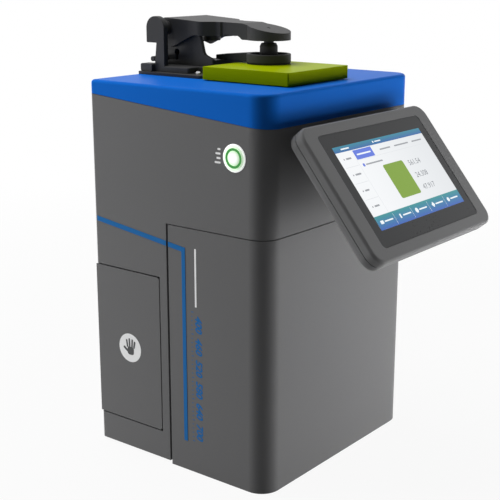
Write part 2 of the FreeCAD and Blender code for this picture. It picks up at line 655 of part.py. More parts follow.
def make_power_supply():
    item = body("power_supply")
    floor = S("housingBottom") + S("trayThickness")
    right, rear = half - S("supplyInset"), deep - S("supplyFromRear")
    pad(item, "XY", floor, S("supplyHeight"),
        rect(right - S("supplyWidth"), right, rear - S("supplyDepth"), rear, S("supplyCorner")))
    return item


# Blocks on the main board: left, front, width, depth and height of each.
boardBlocks = {"processor": (-30, -50, 28, 28, 9), "memory": (30, -50, 18, 24, 5),
               "sockets": (-60, -20, 10, 30, 11), "relays": (50, -15, 30, 12, 12)}


def make_main_board():
    item = body("main_board")
    floor = S("housingBottom") + S("trayThickness")
    wide, front, rear = S("boardHalf"), -S("boardFront"), S("boardRear")
    inset, seat = S("standInset"), S("blockSeat")
    for x in (-wide + inset, wide - inset):
        for y in (front + inset, rear - inset):
            pad(item, "XY", floor, S("boardRise") + S("standSeat"), (x, y, S("standRadius")))
    pad(item, "XY", floor + S("boardRise"), S("boardThickness"), rect(-wide, wide, front, rear))
    top = floor + S("boardRise") + S("boardThickness")
    for left, near, across, along, tall in boardBlocks.values():
        pad(item, "XY", top - seat, seat + tall, rect(S(left), S(left + across), S(near), S(near + along)))
    return item


# One of the panel's openings, grown by some amount. Its place counts from the lower right corner.
def opening(name, grow, corner=None):
    grow = size(grow)
    right, low = panelRight - S(name + "Right"), panelLow + S(name + "Low")
    return rect(right - S(name + "Wide") - grow, right + grow, low - grow, low + S(name + "Tall") + grow, corner)


# Sketches on the XZ plane run towards the front, so the rear plate starts at a negative depth.
plateBack = -(deep - S("wall"))


# Rear connector panel.
def make_rear_panel():
    item = body("rear_panel")
    rim, plate = S("panelRim"), S("panelPlate")
    pad(item, "XZ", plateBack, plate,
        rect(panelLeft - rim, panelRight + rim, panelLow - rim, panelLow + S("panelTall") + rim, S("panelCorner")))
    pocket(item, "XZ", plateBack - 1, plate + 2,
           *[opening(name, 0) for name in ("inlet", "switch", "square", "flat")])
    left, low = panelLeft + S("ventInset"), panelLow + S("ventLow")
    pocket(item, "XZ", plateBack - 1, plate + 2,
           *[rect(left, left + S("ventLong"), low + S("ventPitch") * k, low + S("ventPitch") * k + S("ventTall"))
             for k in range(6)])
    return item


def make_power_inlet():
    item = body("power_inlet")
    plate, corner, blade = S("flangePlate"), S("inletCorner"), S("bladeHalf")
    pad(item, "XZ", plateBack - plate, plate, opening("inlet", S("flangeReach"), corner))
    pad(item, "XZ", plateBack, S("inletDepth"), opening("inlet", -S("fitGap")))
    pocket(item, "XZ", plateBack - plate - 1, plate + 1 + S("inletWell"), opening("inlet", -S("inletRim"), corner))
    middle, low = panelRight - S("inletRight") - S("inletWide") / 2, panelLow + S("inletLow") + S("bladeLow")
    for place in (-1, 0, 1):
        x = middle + S("bladePitch") * place
        pad(item, "XZ", plateBack + S("bladeFrom"), S("bladeLong"),
            rect(x - blade, x + blade, low, low + S("bladeTall")))
    return item


def make_switch_frame():
    item = body("switch_frame")
    plate, across, up = S("flangePlate"), S("switchRimWide"), S("switchRimTall")
    pad(item, "XZ", plateBack - plate, plate, opening("switch", S("flangeReach"), S("switchCorner")))
    pad(item, "XZ", plateBack, S("switchDepth"), opening("switch", -S("fitGap")))
    right, low = panelRight - S("switchRight"), panelLow + S("switchLow")
    pocket(item, "XZ", plateBack - plate - 1, plate + 1 + S("switchWell"),
           rect(right - S("switchWide") + across, right - across, low + up, low + S("switchTall") - up))
    return item


def make_power_switch():
    item = body("power_switch")
    middle = panelRight - S("switchRight") - S("switchWide") / 2
    y, z = deep - S("wall"), panelLow + S("switchLow") + S("switchTall") / 2
    inner, head = y - S("rockerBack"), z + S("rockerHead")
    pad(item, "YZ", middle - S("rockerWide") / 2, S("rockerWide"),
        [(inner, z - S("rockerHeel")), (y + S("rockerToeOut"), z - S("rockerToe")), (y + S("rockerDip"), z),
         (y + S("rockerHeadOut"), head), (inner, head)])
    pad(item, "YZ", middle - S("rockerAxleLong") / 2, S("rockerAxleLong"),
        (y - S("rockerAxleIn"), z, S("rockerAxle")))
    return item


def make_data_ports():
    parts = []
    start, gap = plateBack - S("socketProud"), S("fitGap")
    for name in ("square", "flat"):
        port = body(f"port_{name}")
        pad(port, "XZ", start, S("socketLong"), opening(name, -gap))
        pocket(port, "XZ", start - 1, S("socketWell") + 1, opening(name, -(gap + S(name + "Wall"))))
        parts.append(port)
    return parts


# Coloured stripe on the left side: a sloping run and a straight run down the cover.
def make_side_stripe():
    proud, wide = S("stripeProud"), S("stripeWidth")
    turnY, turnZ = -S("stripeTurnY"), coverTop - S("stripeTurnDrop")
    slope = (S("stripeTurnDrop") - S("stripeRearDrop")) / (deep - turnY)
    gapFront, gapRear = S("coverRearEdge"), rearStart

    def run(y):
        return turnZ + slope * (y - turnY)
    rear = body("stripe_rear")
    pad(rear, "YZ", -half - proud, proud,
        [(gapRear, run(gapRear)), (deep - S("rearCorner"), run(deep - S("rearCorner"))),
         (deep - S("rearCorner"), run(deep - S("rearCorner")) - wide), (gapRear, run(gapRear) - wide)])
    front = body("stripe_front")
    innerY = turnY + S("stripeDownWidth")
    pad(front, "YZ", -half - proud, proud,
        [(gapFront, run(gapFront)), (turnY, turnZ), (turnY, S("stripeEnd")),
         (innerY, S("stripeEnd")), (innerY, run(innerY) - wide),
         (gapFront, run(gapFront) - wide)])
    return [rear, front]


# Screen bracket on the front wall, and the hinge pin that it holds.
hingeY = -(deep + S("hingeForward"))
hingeZ = lidFront - S("hingeBelowLid")
lugRadius = S("hingeStandOff") - S("lugClearance")


def make_screen_bracket():
    item = body("screen_bracket")
    wide = S("bracketHalfWidth")
    low, high = hingeZ - S("bracketBelow"), hingeZ + S("bracketAbove")
    pad(item, "XZ", deep, S("bracketThickness"), rect(-wide, wide, low, high, S("bracketCorner")))
    r, bend = lugRadius, lugRadius * S("nearRound")
    for start in (-(S("lugHalfGap") + S("lugThickness")), S("lugHalfGap")):
        pad(item, "YZ", start, S("lugThickness"),
            [(hingeY - r, hingeZ - r, bend), (-deep - 1, hingeZ - r * 2), (-deep - 1, hingeZ + r),
             (hingeY - r, hingeZ + r, bend)])
    pocket(item, "YZ", -(S("lugHalfGap") + S("lugThickness") + 1),
           (S("lugHalfGap") + S("lugThickness") + 1) * 2, (hingeY, hingeZ, S("hingePin")))
    return item


def make_screen_hinge_pin():
    item = body("screen_hinge_pin")
    reach = S("lugHalfGap") + S("lugThickness") + 1
    pad(item, "YZ", -reach, reach * 2, (hingeY, hingeZ, S("hingePin")))
    return item


def tilted(item):
    item.Placement = FreeCAD.Placement(FreeCAD.Vector(0, 0, 0), FreeCAD.Rotation(FreeCAD.Vector(1, 0, 0), 1))
    bind(item, "Placement.Base.y", hingeY)
    bind(item, "Placement.Base.z", hingeZ)
    bind(item, "Placement.Rotation.Angle", S("screenDip"))
    doc.recompute()
    return item


screenTop = S("screenTopReach")
screenLow = S("screenTopReach") - S("screenHeight")
screenSide = S("screenWidth") / 2
screenBack = S("hingeStandOff")
screenFace = screenBack + S("screenThickness")
splitAt = screenBack + S("screenSplit")
faceStart = splitAt + S("screenSeam")


def screen_plan(inset):
    return rect(-screenSide + inset, screenSide - inset, screenLow + inset, screenTop - inset,
                S("screenCorner") - inset)


def make_screen_back_shell():
    item = body("screen_back_shell")
    wall = S("screenWall")
    pad(item, "XY", screenBack, S("screenSplit"), screen_plan(S(0)))
    soften(item, S("shellRound"), lambda e: at(e, 2, screenBack))
    pocket(item, "XY", screenBack + wall, S("screenSplit"), screen_plan(wall))
    lip = S("shellLip")
    pad(item, "XY", splitAt - lip, S("screenSeam") + lip * 2,
        screen_plan(wall - S("shellLipFit")), screen_plan(wall + S("shellLipBack")))
    return tilted(item)


glassTop = screenTop - S("glassTopMargin")
glassLow = screenLow + S("glassLowMargin")
glassSide = screenSide - S("glassSideMargin")
glassBack = screenFace - S("glassSunk") - S("glassThickness")


def make_screen_front_shell():
    item = body("screen_front_shell")
    wall = S("screenWall")
    pad(item, "XY", faceStart, screenFace - faceStart, screen_plan(S(0)))
    soften(item, S("shellRim"), lambda e: at(e, 2, screenFace))
    pocket(item, "XY", faceStart - 1, glassBack - S("glassShelf") - faceStart + 1, screen_plan(wall + S("shelfWall")))
    pocket(item, "XY", faceStart - 1, S("shellLipRoom") + 1, screen_plan(wall - S("shellLipGap")))
    pocket(item, "XY", glassBack, screenFace - glassBack + 1,
           rect(-glassSide, glassSide, glassLow, glassTop, S("glassCorner")))
    edge = S("windowMargin")
    pocket(item, "XY", faceStart, glassBack - faceStart + 1,
           rect(-glassSide + edge, glassSide - edge, glassLow + edge, glassTop - edge, S("windowCorner")))
    return tilted(item)


def make_screen_glass():
    item = body("screen_glass")
    gap = S("glassGap")
    pad(item, "XY", glassBack, S("glassThickness"),
        rect(-glassSide + gap, glassSide - gap, glassLow + gap, glassTop - gap, S("glassCorner") - gap))
    return tilted(item)


panelMiddle = (glassTop + glassLow) / 2


def make_display_panel():
    item = body("display_panel")
    wide, end = glassSide - S("panelSideMargin"), S("panelEndMargin")
    pad(item, "XY", glassBack - S("panelThickness"), S("panelThickness"),
        rect(-wide, wide, glassLow + end, glassTop - end))
    return tilted(item)


def make_screen_board():
    item = body("screen_board")
    floor = screenBack + S("screenWall")
    board = glassBack - S("panelThickness") - S("boardThickness")
    under, gap = board + S("standSeat"), S("screenBlockGap")
    wide, tall = S("screenBoardHalf"), S("screenBoardTall")
    pad(item, "XY", board, S("boardThickness"), rect(-wide, wide, panelMiddle - tall, panelMiddle + tall))
    for x in (-S("screenStandHalf"), S("screenStandHalf")):
        for y in (-S("screenStandTall"), S("screenStandTall")):
            pad(item, "XY", floor, under - floor, (x, panelMiddle + y, S("standRadius")))
    wide, tall = S("screenBlockHalf"), S("screenBlockTall")
    pad(item, "XY", floor + gap, under - floor - gap, rect(-wide, wide, panelMiddle - tall, panelMiddle + tall))
    return tilted(item)


def make_screen_hinge_block():
    item = body("screen_hinge_block")
    wide = S("lugHalfGap") - clear
    r = lugRadius - S("hingeBlockClear")
    pad(item, "YZ", -wide, wide * 2, (S(0), S(0), r))
    pad(item, "YZ", -wide, wide * 2, rect(-r, r, S(0), screenBack))
    pocket(item, "YZ", -wide - 1, wide * 2 + 2, (S(0), S(0), S("hingePin") + S("runningFit")))
    return tilted(item)


# Sample clamp on the lid.
plateTop = lidTop + S("plateThickness")
flangeTop = plateTop + S("flangeThickness")
bracketFront = S("plateFront") + S("bracketFront")
bracketRear = S("plateRear") - S("bracketRear")
pivotY = S("pivotBack")
pivotZ = lidTop + S("pivotRise")
rearPinY = pivotY + S("rearPinBack")
rearPinZ = flangeTop + S("rearPinRise")
frameSide = S("armHalf") - S("armWall") - S("frameClearance")
lugReach = S("armTop") - S("armWall") - S("lugGap")
tileTop = lidTop + S("portProud") + clear + S("tileThickness")
ringLow = tileTop + clear
tongueLow = ringLow + S("padThickness")


def make_clamp_plate():
    item = body("clamp_plate")
    wide = S("bracketHalf") + S("plateOverhang")
    pad(item, "XY", lidTop, S("plateThickness"),
        rect(-wide, wide, S("plateFront"), S("plateRear"), S("plateCorner")))
    return item


# Base flange with its front corners cut back for two screws, and on the left one tall cheek that
# carries the pivot pin, its rounded head overhanging the rear, with a foot behind it.
def make_clamp_bracket():
    item = body("clamp_bracket")
    wide, thick = S("bracketHalf"), S("cheekThickness")
    inner, corner = wide - S("cornerWide"), bracketFront + S("cornerLong")
    round_, notch, rear = S("flangeCorner"), S("flangeNotch"), S("flangeRear")
    pad(item, "XY", plateTop, S("flangeThickness"),
        [(-wide, corner, round_), (-inner, corner, notch), (-inner, bracketFront, round_),
         (inner, bracketFront, round_), (inner, corner, notch), (wide, corner, round_),
         (wide, bracketRear, rear), (-wide, bracketRear, rear)])
    soften(item, S("flangeEdge"), lambda e: at(e, 2, flangeTop))
    r = S("cheekRadius")
    bend, shelf = r * S("nearRound"), flangeTop + S("cheekShelf")
    pad(item, "YZ", -wide, thick,
        [(pivotY - r, plateTop), (pivotY + S("cheekFoot"), plateTop), (pivotY - S("cheekThroat"), shelf),
         (pivotY + r, shelf, S("shelfCorner")), (pivotY + r, pivotZ + r, bend), (pivotY - r, pivotZ + r, bend)])
    pad(item, "YZ", -wide - S("footReach"), thick + S("footReach"),
        rect(pivotY + S("footFrom"), bracketRear, plateTop, plateTop + S("footHeight"), S("footCorner")))
    pocket(item, "YZ", -wide + S("pinCover"), thick, (pivotY, pivotZ, S("pivotPin")))
    return item


# Two uprights on a floor, inside the arm: the left one a full web, cut by a keyhole that opens into a
# blind spring box behind it, the right one only a slim post below its pivot lug.
def make_clamp_frame():
    item = body("clamp_frame")
    wide, thick, r = frameSide, S("frameWall"), lugReach
    front, rear = S("plateFront") + S("frameFront"), pivotY + lugReach + S("frameRear")
    neck, bend, post = S("lugNeck"), r * S("lugRound"), pivotY + S("slimPost")
    lug = [(rear, flangeTop), (rear, flangeTop + S("springRise"), S("frameRearRound")),
           (pivotY + r, pivotZ - neck, neck), (pivotY + r, pivotZ + r, bend)]
    pad(item, "YZ", -wide, thick,
        [(front, flangeTop), *lug, (pivotY - r + S("webTop"), pivotZ + r, r * S("lugShoulder")),
         (S("webKneeY"), flangeTop + S("webKneeRise"), S("webKneeRound")),
         (S("webFootY"), flangeTop + S("webFootRise"), S("webFootRound")),
         (front, flangeTop + S("webFrontRise"), S("webFrontRound"))])
    pad(item, "YZ", wide - thick, thick,
        [(post, flangeTop), *lug, (pivotY - r, pivotZ + r, bend), (pivotY - r, pivotZ - r, S("slimPostRound")),
         (post, pivotZ - S("slimPostDrop"), S("slimPostRound"))])
    pad(item, "XY", flangeTop, S("frameFloor"), rect(-wide, wide, front, rear))
    pad(item, "YZ", -wide, wide * 2, rect(front, front + S("frameBar"), flangeTop, tongueLow - S("barGap")))
    holeY, holeZ = pivotY - S("springBack"), flangeTop + S("springRise")
    box = S("springHole") + S("springWall")
    pad(item, "YZ", -wide, thick + S("springDepth"),
        rect(holeY - box, holeY + box, flangeTop, holeZ + box, S("springRound")))
    pocket(item, "YZ", -wide - 1, wide * 2 + 2, (pivotY, pivotZ, S("pivotPin")))
    pocket(item, "YZ", -wide - 1, thick + 2, (rearPinY, rearPinZ, S("rearPin")))
    deep_cut = thick + S("springDepth") - S("springWall") + 1
    pocket(item, "YZ", -wide - 1, deep_cut, (holeY, holeZ, S("springHole")))
    slot = S("slotHalf")
    pocket(item, "YZ", -wide - 1, deep_cut, rect(holeY - slot, holeY + slot, flangeTop + S("slotRise"), holeZ))
    return item


# Each screw as its place, and the height of what it sits on.
def screw_spots():
    front, side = bracketFront + S("cornerLong") / 2, S("bracketHalf") - S("screwInset")
    rear, inner = bracketRear - S("rearScrewForward"), S("bracketHalf") - S("rearScrewInset")
    return [(-side, front, plateTop), (side, front, plateTop),
            (-inner, rear, flangeTop), (inner, rear, flangeTop)]


def make_clamp_screws():
    parts = []
    r = S("screwHead")
    for number, (x, y, seat) in enumerate(screw_spots(), 1):
        screw = body(f"clamp_screw_{number}")
        turned(screw, [(S(0), seat), (r, seat), (r, seat + r * 0.4), (r * 0.65, seat + r * 0.8),
                       (S(0), seat + r * 0.95)])
        bind(screw, "Placement.Base.x", x)
        bind(screw, "Placement.Base.y", y)
        parts.append(screw)
    doc.recompute()
    return parts


armOuter = S("armHalf") + clear


def make_clamp_pivot_pin():
    item = body("clamp_pivot_pin")
    start = -S("bracketHalf") + S("pinCover")
    pad(item, "YZ", start, armOuter + S("pinCollar") + S("pinProud") - start, (pivotY, pivotZ, S("pivotPin")))
    return item


# A spacer between the cheek and the arm, and the collar that keeps the arm on the pin.
def make_pivot_spacers():
    parts = []
    left = -S("bracketHalf") + S("cheekThickness")
    for name, start, end in (("left", left, -armOuter), ("right", armOuter, armOuter + S("pinCollar"))):
        ring = body(f"pivot_spacer_{name}")
        pad(ring, "YZ", start, end - start,
            (pivotY, pivotZ, S("pivotPin") + S("spacerWall")), (pivotY, pivotZ, S("pivotPin")))
        parts.append(ring)
    return parts


# Stop pin pressed into the left web, its end flush with the cheek.
def make_clamp_rear_pin():
    item = body("clamp_rear_pin")
    start = -S("bracketHalf")
    pad(item, "YZ", start, -frameSide + S("frameWall") + S("rearPinSink") - start,
        (rearPinY, rearPinZ, S("rearPin")))
    return item


headMiddle = pivotZ + S("headAbovePivot")
headSlope = tangent(S("headSlope"))
headLow = pivotZ - S("headBelowPivot")
armFrontY = portY - S("headRadius")


def head_height(y):
    return headMiddle + headSlope * (y - portY)


def crosswise(name, radius, start, length, y, z):
    item = doc.addObject("Part::Cylinder", name)
    item.Placement.Rotation = FreeCAD.Rotation(FreeCAD.Vector(0, 1, 0), 90)
    bind(item, "Radius", radius)
    bind(item, "Height", length)
    bind(item, "Placement.Base.x", start)
    bind(item, "Placement.Base.y", y)
    bind(item, "Placement.Base.z", z)
    return item


def upright(name, radius, y, z, length):
    item = doc.addObject("Part::Cylinder", name)
    bind(item, "Radius", radius)
    bind(item, "Height", length)
    bind(item, "Placement.Base.y", y)
    bind(item, "Placement.Base.z", z)
    return item


# Clamp arm: the side profile and the plan outline meet in one solid with a round stop under it, which
# is then hollowed from below round the frame. Grip grooves run across the neck's lower edge.
def make_clamp_arm():
    wide, wall, neck = S("armHalf"), S("armWall"), S("neckHalf")
    rearY, topZ = pivotY + S("armRear"), pivotZ + S("armTop")
    neckY, neckZ = S("neckStart"), topZ - S("armFall")
    waist = neckZ - S("neckDrop")
    grip = headLow + S("gripRise")
    side = body("arm_side")
    pad(side, "YZ", -wide, wide * 2,
        [(rearY, topZ, S("armRearRound")), (neckY, neckZ), (S("headStart"), waist, S("waistRound")),
         (armFrontY - 1, head_height(armFrontY - 1)), (armFrontY - 1, headLow),
         (S("gripStart"), headLow, S("gripRound")), (S("gripFront"), grip, S("gripRound")),
         (S("gripRear"), grip), (S("footY"), headLow + S("footRise")), (S("bellyY"), grip, S("bellyRound")),
         (pivotY - S("heelForward"), pivotZ - S("heelDrop"), S("heelRound")),
         (pivotY + S("heelBack"), pivotZ - S("heelBackDrop"), S("tailRound")),
         (rearY, pivotZ - S("tailDrop"), S("tailRound"))])
    plan_view = body("arm_plan")
    neckEnd = neckY - S("neckTaper")
    collar = neck + S("collarStep")
    outline_half = [(wide, rearY + 1), (wide, neckY, S("shoulderRound")),
                    (collar, neckEnd + S("collarFrom"), S("collarRound")),
                    (collar, neckEnd - S("collarTo"), S("collarEdge")), (neck, neckEnd - S("collarEnd")),
                    (neck, portY)]
    mirrored = [(-c[0],) + tuple(c[1:]) for c in reversed(outline_half)]
    pad(plan_view, "XY", lidTop, topZ + 1 - lidTop, mirrored + outline_half)
    pad(plan_view, "XY", lidTop, topZ + 1 - lidTop, (S(0), portY, S("headRadius")))
    stop = upright("arm_stop", S("stopRadius"), S("stopBack"), headLow - S("stopBelow"),
                   neckZ - S("stopSink") - headLow + S("stopBelow"))
    blank = boolean("Fuse", "arm_blank", boolean("Common", "arm_outer", side, plan_view), stop)
    hollow = body("arm_hollow")
    mouth, front, roof = headLow - S("roomDrop"), neckY + S("roomFront"), S("armRoof")
    pad(hollow, "YZ", -wide + wall, (wide - wall) * 2,
        [(rearY + 1, topZ - roof), (front, neckZ - roof, S("roomRound")), (front, mouth), (rearY + 1, mouth)])
    room = boolean("Cut", "arm_room", hollow,
                   upright("arm_stop_core", S("stopRadius"), S("stopBack"), mouth - 1, topZ - mouth))
    tools = [room,
             crosswise("arm_axle_bore", S("pivotPin") + S("runningFit"), -wide - 1, wide * 2 + 2, pivotY, pivotZ),
             upright("arm_guide_bore", S("spindleRadius") + S("runningFit"), portY, headLow - 1,
                     S("guideDepth") + 1),
             upright("arm_top_hole", S("topHole"), portY, headMiddle - S("topHoleSink"), S("topHoleReach"))]
    for number in range(4):
        tools.append(crosswise(f"arm_groove_{number}", S("grooveRadius"), -wide, wide * 2,
                               S("grooveFirst") + S("groovePitch") * number, headLow + S("grooveRise")))
    doc.recompute()
    return boolean("Cut", "clamp_arm", blank, boolean("MultiFuse", "arm_tools", *tools))


# Press: a sprung spindle with the ring, its guide tongue and a soft face.
ringTop = ringLow + S("ringHeight")
ringFloor = ringLow + S("ringFloor")
collarTop = headLow - S("spindleTravel") - S("collarGap")


def make_press_spindle():
    item = body("press_spindle")
    shaft, collar, bevel = S("spindleRadius"), S("collarRadius"), S("pressBevel")
    top = headLow + S("spindleReach")
    turned(item, [(S(0), ringFloor), (collar - bevel, ringFloor), (collar, ringFloor + bevel),
                  (collar, collarTop - S("pressCone")), (collar - S("pressTaper"), collarTop),
                  (shaft, collarTop), (shaft, top), (S(0), top)])
    bind(item, "Placement.Base.y", portY)
    doc.recompute()
    return item


def make_press_ring():
    item = body("press_ring")
    r, rim = S("ringRadius"), S("ringRim")
    pad(item, "XY", tongueLow, ringTop - tongueLow, (S(0), portY, r))
    pocket(item, "XY", ringFloor, S("ringHeight"), (S(0), portY, r - rim))
    soften(item, S("ringEdge"), lambda e: at(e, 2, ringTop), "Chamfer")
    wide, end, bend = S("tongueHalf"), S("tongueRear"), S("tongueRound")
    join = portY + r - rim / 2
    pad(item, "YZ", -wide, wide * 2,
        [(join - 1, tongueLow), (end, tongueLow, bend), (end, ringLow + S("tongueRise"), bend),
         (join + S("tongueBlend"), ringTop), (join - 1, ringTop)])
    return item


def make_press_pad():
    item = body("press_pad")
    pad(item, "XY", ringLow, S("padThickness"), (S(0), portY, S("ringRadius") - S("padInset")))
    return item


def make_sample_tile():
    item = body("sample_tile")
    x, rear = -S("tileLeft"), S("plateFront") - S("tileBehindGap")
    pad(item, "XY", lidTop + S("portProud") + clear, S("tileThickness"),
        rect(x, x + S("tileWidth"), rear - S("tileDepth"), rear, S("tileCorner")))
    return item


makers = {
    "main_housing": make_main_housing, "front_cover": make_front_cover, "lid": make_lid,
    "base_tray": make_base_tray, "rubber_feet": make_rubber_feet, "side_door": make_side_door,
    "door_hinge_bosses": make_door_hinge_bosses, "door_hinge_pins": make_door_hinge_pins,
    "chamber_liner": make_chamber_liner, "cell_holder": make_cell_holder, "door_catch": make_door_catch,
    "button_bezel": make_button_bezel, "button_light_ring": make_button_light_ring,
    "test_button": make_test_button, "port_ring": make_port_ring,
    "integrating_sphere": make_integrating_sphere, "sphere_cradle": make_sphere_cradle,
    "optics_deck": make_optics_deck, "deck_posts": make_deck_posts,
    "spectrometer_module": make_spectrometer, "lamp_module": make_lamp_module,
    "power_supply": make_power_supply, "main_board": make_main_board, "rear_panel": make_rear_panel,
    "power_inlet": make_power_inlet, "switch_frame": make_switch_frame,
    "power_switch": make_power_switch, "data_ports": make_data_ports, "side_stripe": make_side_stripe,
    "screen_bracket": make_screen_bracket, "screen_hinge_pin": make_screen_hinge_pin,
    "screen_back_shell": make_screen_back_shell, "screen_front_shell": make_screen_front_shell,
    "screen_glass": make_screen_glass, "display_panel": make_display_panel,
    "screen_board": make_screen_board, "screen_hinge_block": make_screen_hinge_block,
    "clamp_plate": make_clamp_plate, "clamp_bracket": make_clamp_bracket, "clamp_frame": make_clamp_frame,
    "clamp_screws": make_clamp_screws, "clamp_pivot_pin": make_clamp_pivot_pin,
    "pivot_spacers": make_pivot_spacers, "clamp_rear_pin": make_clamp_rear_pin,
    "clamp_arm": make_clamp_arm, "press_spindle": make_press_spindle,
    "press_ring": make_press_ring, "press_pad": make_press_pad, "sample_tile": make_sample_tile,
}

nodes = {}
for name, make in makers.items():
    made = make()
    if isinstance(made, list):
        group = doc.addObject("Part::Compound", name)
        group.Label = name
        group.Links = made
        made = group
    nodes[name] = made
doc.recompute()

for item in doc.Objects:
    if {"Invalid", "Error"} & set(item.State):
        raise RuntimeError(f"{item.Label} did not build: {item.State}")
for name, item in nodes.items():
    if item.Shape.isNull() or not item.Shape.isValid() or not item.Shape.Solids:
        raise RuntimeError(f"{name} has no valid solid")

os.makedirs("parts", exist_ok=True)
for name, item in nodes.items():
    item.Shape.exportStep(f"parts/{name}.step")
    box = item.Shape.BoundBox
    print(f"{name}: {len(item.Shape.Solids)} solid(s), {item.Shape.Volume:.0f} mm3, "
          f"{box.XLength:.1f} x {box.YLength:.1f} x {box.ZLength:.1f} mm")
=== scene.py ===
import bmesh
import bpy
import math
import numpy as np
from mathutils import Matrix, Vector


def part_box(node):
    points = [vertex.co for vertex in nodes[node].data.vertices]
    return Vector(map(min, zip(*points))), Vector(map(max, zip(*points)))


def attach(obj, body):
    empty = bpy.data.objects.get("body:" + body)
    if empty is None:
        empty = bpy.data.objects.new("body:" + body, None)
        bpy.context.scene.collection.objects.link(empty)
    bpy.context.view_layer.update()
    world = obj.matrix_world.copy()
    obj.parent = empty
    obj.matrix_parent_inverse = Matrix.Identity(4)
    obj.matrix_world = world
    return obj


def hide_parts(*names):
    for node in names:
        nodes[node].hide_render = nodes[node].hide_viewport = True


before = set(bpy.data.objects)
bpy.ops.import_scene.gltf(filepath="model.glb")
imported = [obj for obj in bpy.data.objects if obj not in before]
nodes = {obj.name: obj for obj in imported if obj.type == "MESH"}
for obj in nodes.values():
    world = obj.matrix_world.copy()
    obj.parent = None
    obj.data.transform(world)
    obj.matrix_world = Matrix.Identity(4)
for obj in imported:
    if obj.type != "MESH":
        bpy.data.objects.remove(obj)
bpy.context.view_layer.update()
print("frame loaded:", len(nodes), "nodes")

bpy.context.scene.view_settings.view_transform = "Standard"


# A shader value; the arithmetic signs add Math nodes.
class Wire:
    def __init__(self, finish, socket):
        self.finish = finish
        self.socket = socket

    def math(self, operation, *others):
        made = self.finish.add("ShaderNodeMath", {"operation": operation},
                               {i: v for i, v in enumerate((self,) + others)})
        return Wire(self.finish, made.outputs[0])

    def __add__(self, other): return self.math("ADD", other)
    def __radd__(self, other): return self.math("ADD", other)
    def __mul__(self, other): return self.math("MULTIPLY", other)
    def __rmul__(self, other): return self.math("MULTIPLY", other)
    def __sub__(self, other): return self.math("SUBTRACT", other)
    def __rsub__(self, other): return self.math("MULTIPLY", -1.0) + other
    def __truediv__(self, other): return self.math("DIVIDE", other)
    def __pow__(self, other): return self.math("POWER", other)
    def clamp(self): return self.math("MAXIMUM", 0.0).math("MINIMUM", 1.0)

    # 0 below the low edge, 1 above the high edge, an even climb between
    def climb(self, low, high): return ((self - low) / (high - low)).clamp()


# A material under construction: add() makes every node, settings first, then values or links.
class Finish:
    def __init__(self, name, tree=None):
        if tree is None:
            self.material = bpy.data.materials.new(name)
            self.material.use_nodes = True
            # only the lamps are sampled as lights, not the lit faces, which lowers the noise
            self.material.cycles.emission_sampling = "NONE"
            tree = self.material.node_tree
        self.tree = tree
        self.tree.nodes.clear()
        self.place = self.out(self.add("ShaderNodeTexCoord"), "Object")

    def add(self, kind, settings=None, values=None):
        made = self.tree.nodes.new(kind)
        for key, value in (settings or {}).items():
            setattr(made, key, value)
        for key, value in (values or {}).items():
            if isinstance(value, Wire):
                self.tree.links.new(value.socket, made.inputs[key])
            else:
                made.inputs[key].default_value = value
        return made

    def out(self, made, key=0):
        return Wire(self, made.outputs[key])

    def noise(self, scale, detail=2.0, rough=0.5, stretch=None):
        place = self.place
        if stretch:
            place = self.out(self.add("ShaderNodeMapping", None, {"Vector": place, "Scale": stretch}))
        made = self.add("ShaderNodeTexNoise", None,
                        {"Vector": place, "Scale": scale, "Detail": detail, "Roughness": rough})
        return self.out(made, "Fac")

    # mix of two colours by a factor
    def blend(self, factor, first, second):
        made = self.add("ShaderNodeMix", {"data_type": "RGBA"},
                        {0: factor, 6: colour4(first), 7: colour4(second)})
        return self.out(made, 2)

    # mix from a darker to a lighter tone of one colour
    def shades(self, factor, colour, dark, pale):
        base = np.array(colour)
        return self.blend(factor, tuple(base * dark), tuple(np.minimum(base * pale, 1.0)))

    # distance along a direction, measured from the origin of the frame
    def along(self, direction):
        made = self.add("ShaderNodeVectorMath", {"operation": "DOT_PRODUCT"},
                        {0: self.place, 1: direction})
        return self.out(made, "Value")

    # 1 for rays that look at the surface or mirror it, 0 for light
    def seen(self):
        path = self.add("ShaderNodeLightPath")
        return (self.out(path, "Is Camera Ray") + self.out(path, "Is Glossy Ray")
                + self.out(path, "Is Transmission Ray")).clamp()

    # rounds edges by a radius, then adds fine relief of some depth
    def relief(self, height, depth, edge):
        normal = self.out(self.add("ShaderNodeBevel", {"samples": 4}, {"Radius": edge}))
        made = self.add("ShaderNodeBump", None, {"Strength": 1.0, "Distance": depth, "Height": height,
                                                 "Normal": normal})
        return self.out(made)

    def surface(self, **values):
        named = {key.replace("_", " "): value for key, value in values.items()}
        shader = self.add("ShaderNodeBsdfPrincipled", None, named)
        self.add("ShaderNodeOutputMaterial", None, {"Surface": self.out(shader)})
        return self.material


def colour4(value):
    return value if isinstance(value, Wire) else tuple(value) + ((1.0,) if len(value) == 3 else ())


# The linear colour of a screen colour given as 0 to 255.
def srgb(r, g, b):
    parts = np.array((r, g, b)) / 255.0
    bright = ((parts + 0.055) / 1.055) ** 2.4
    return tuple(float(c) for c in np.where(parts <= 0.04045, parts / 12.92, bright))


# What all painted, moulded and metal surfaces share: noise scales, how far the tone goes either
# way, and how much the noise moves the roughness.
paint = {"driftScale": 9.0, "dark": 0.72, "pale": 1.28, "roughDrift": 0.08, "roughGrain": 0.1}
metal = {"driftScale": 14.0, "dark": 0.85, "pale": 1.12, "roughLines": 0.16, "roughDrift": 0.1}


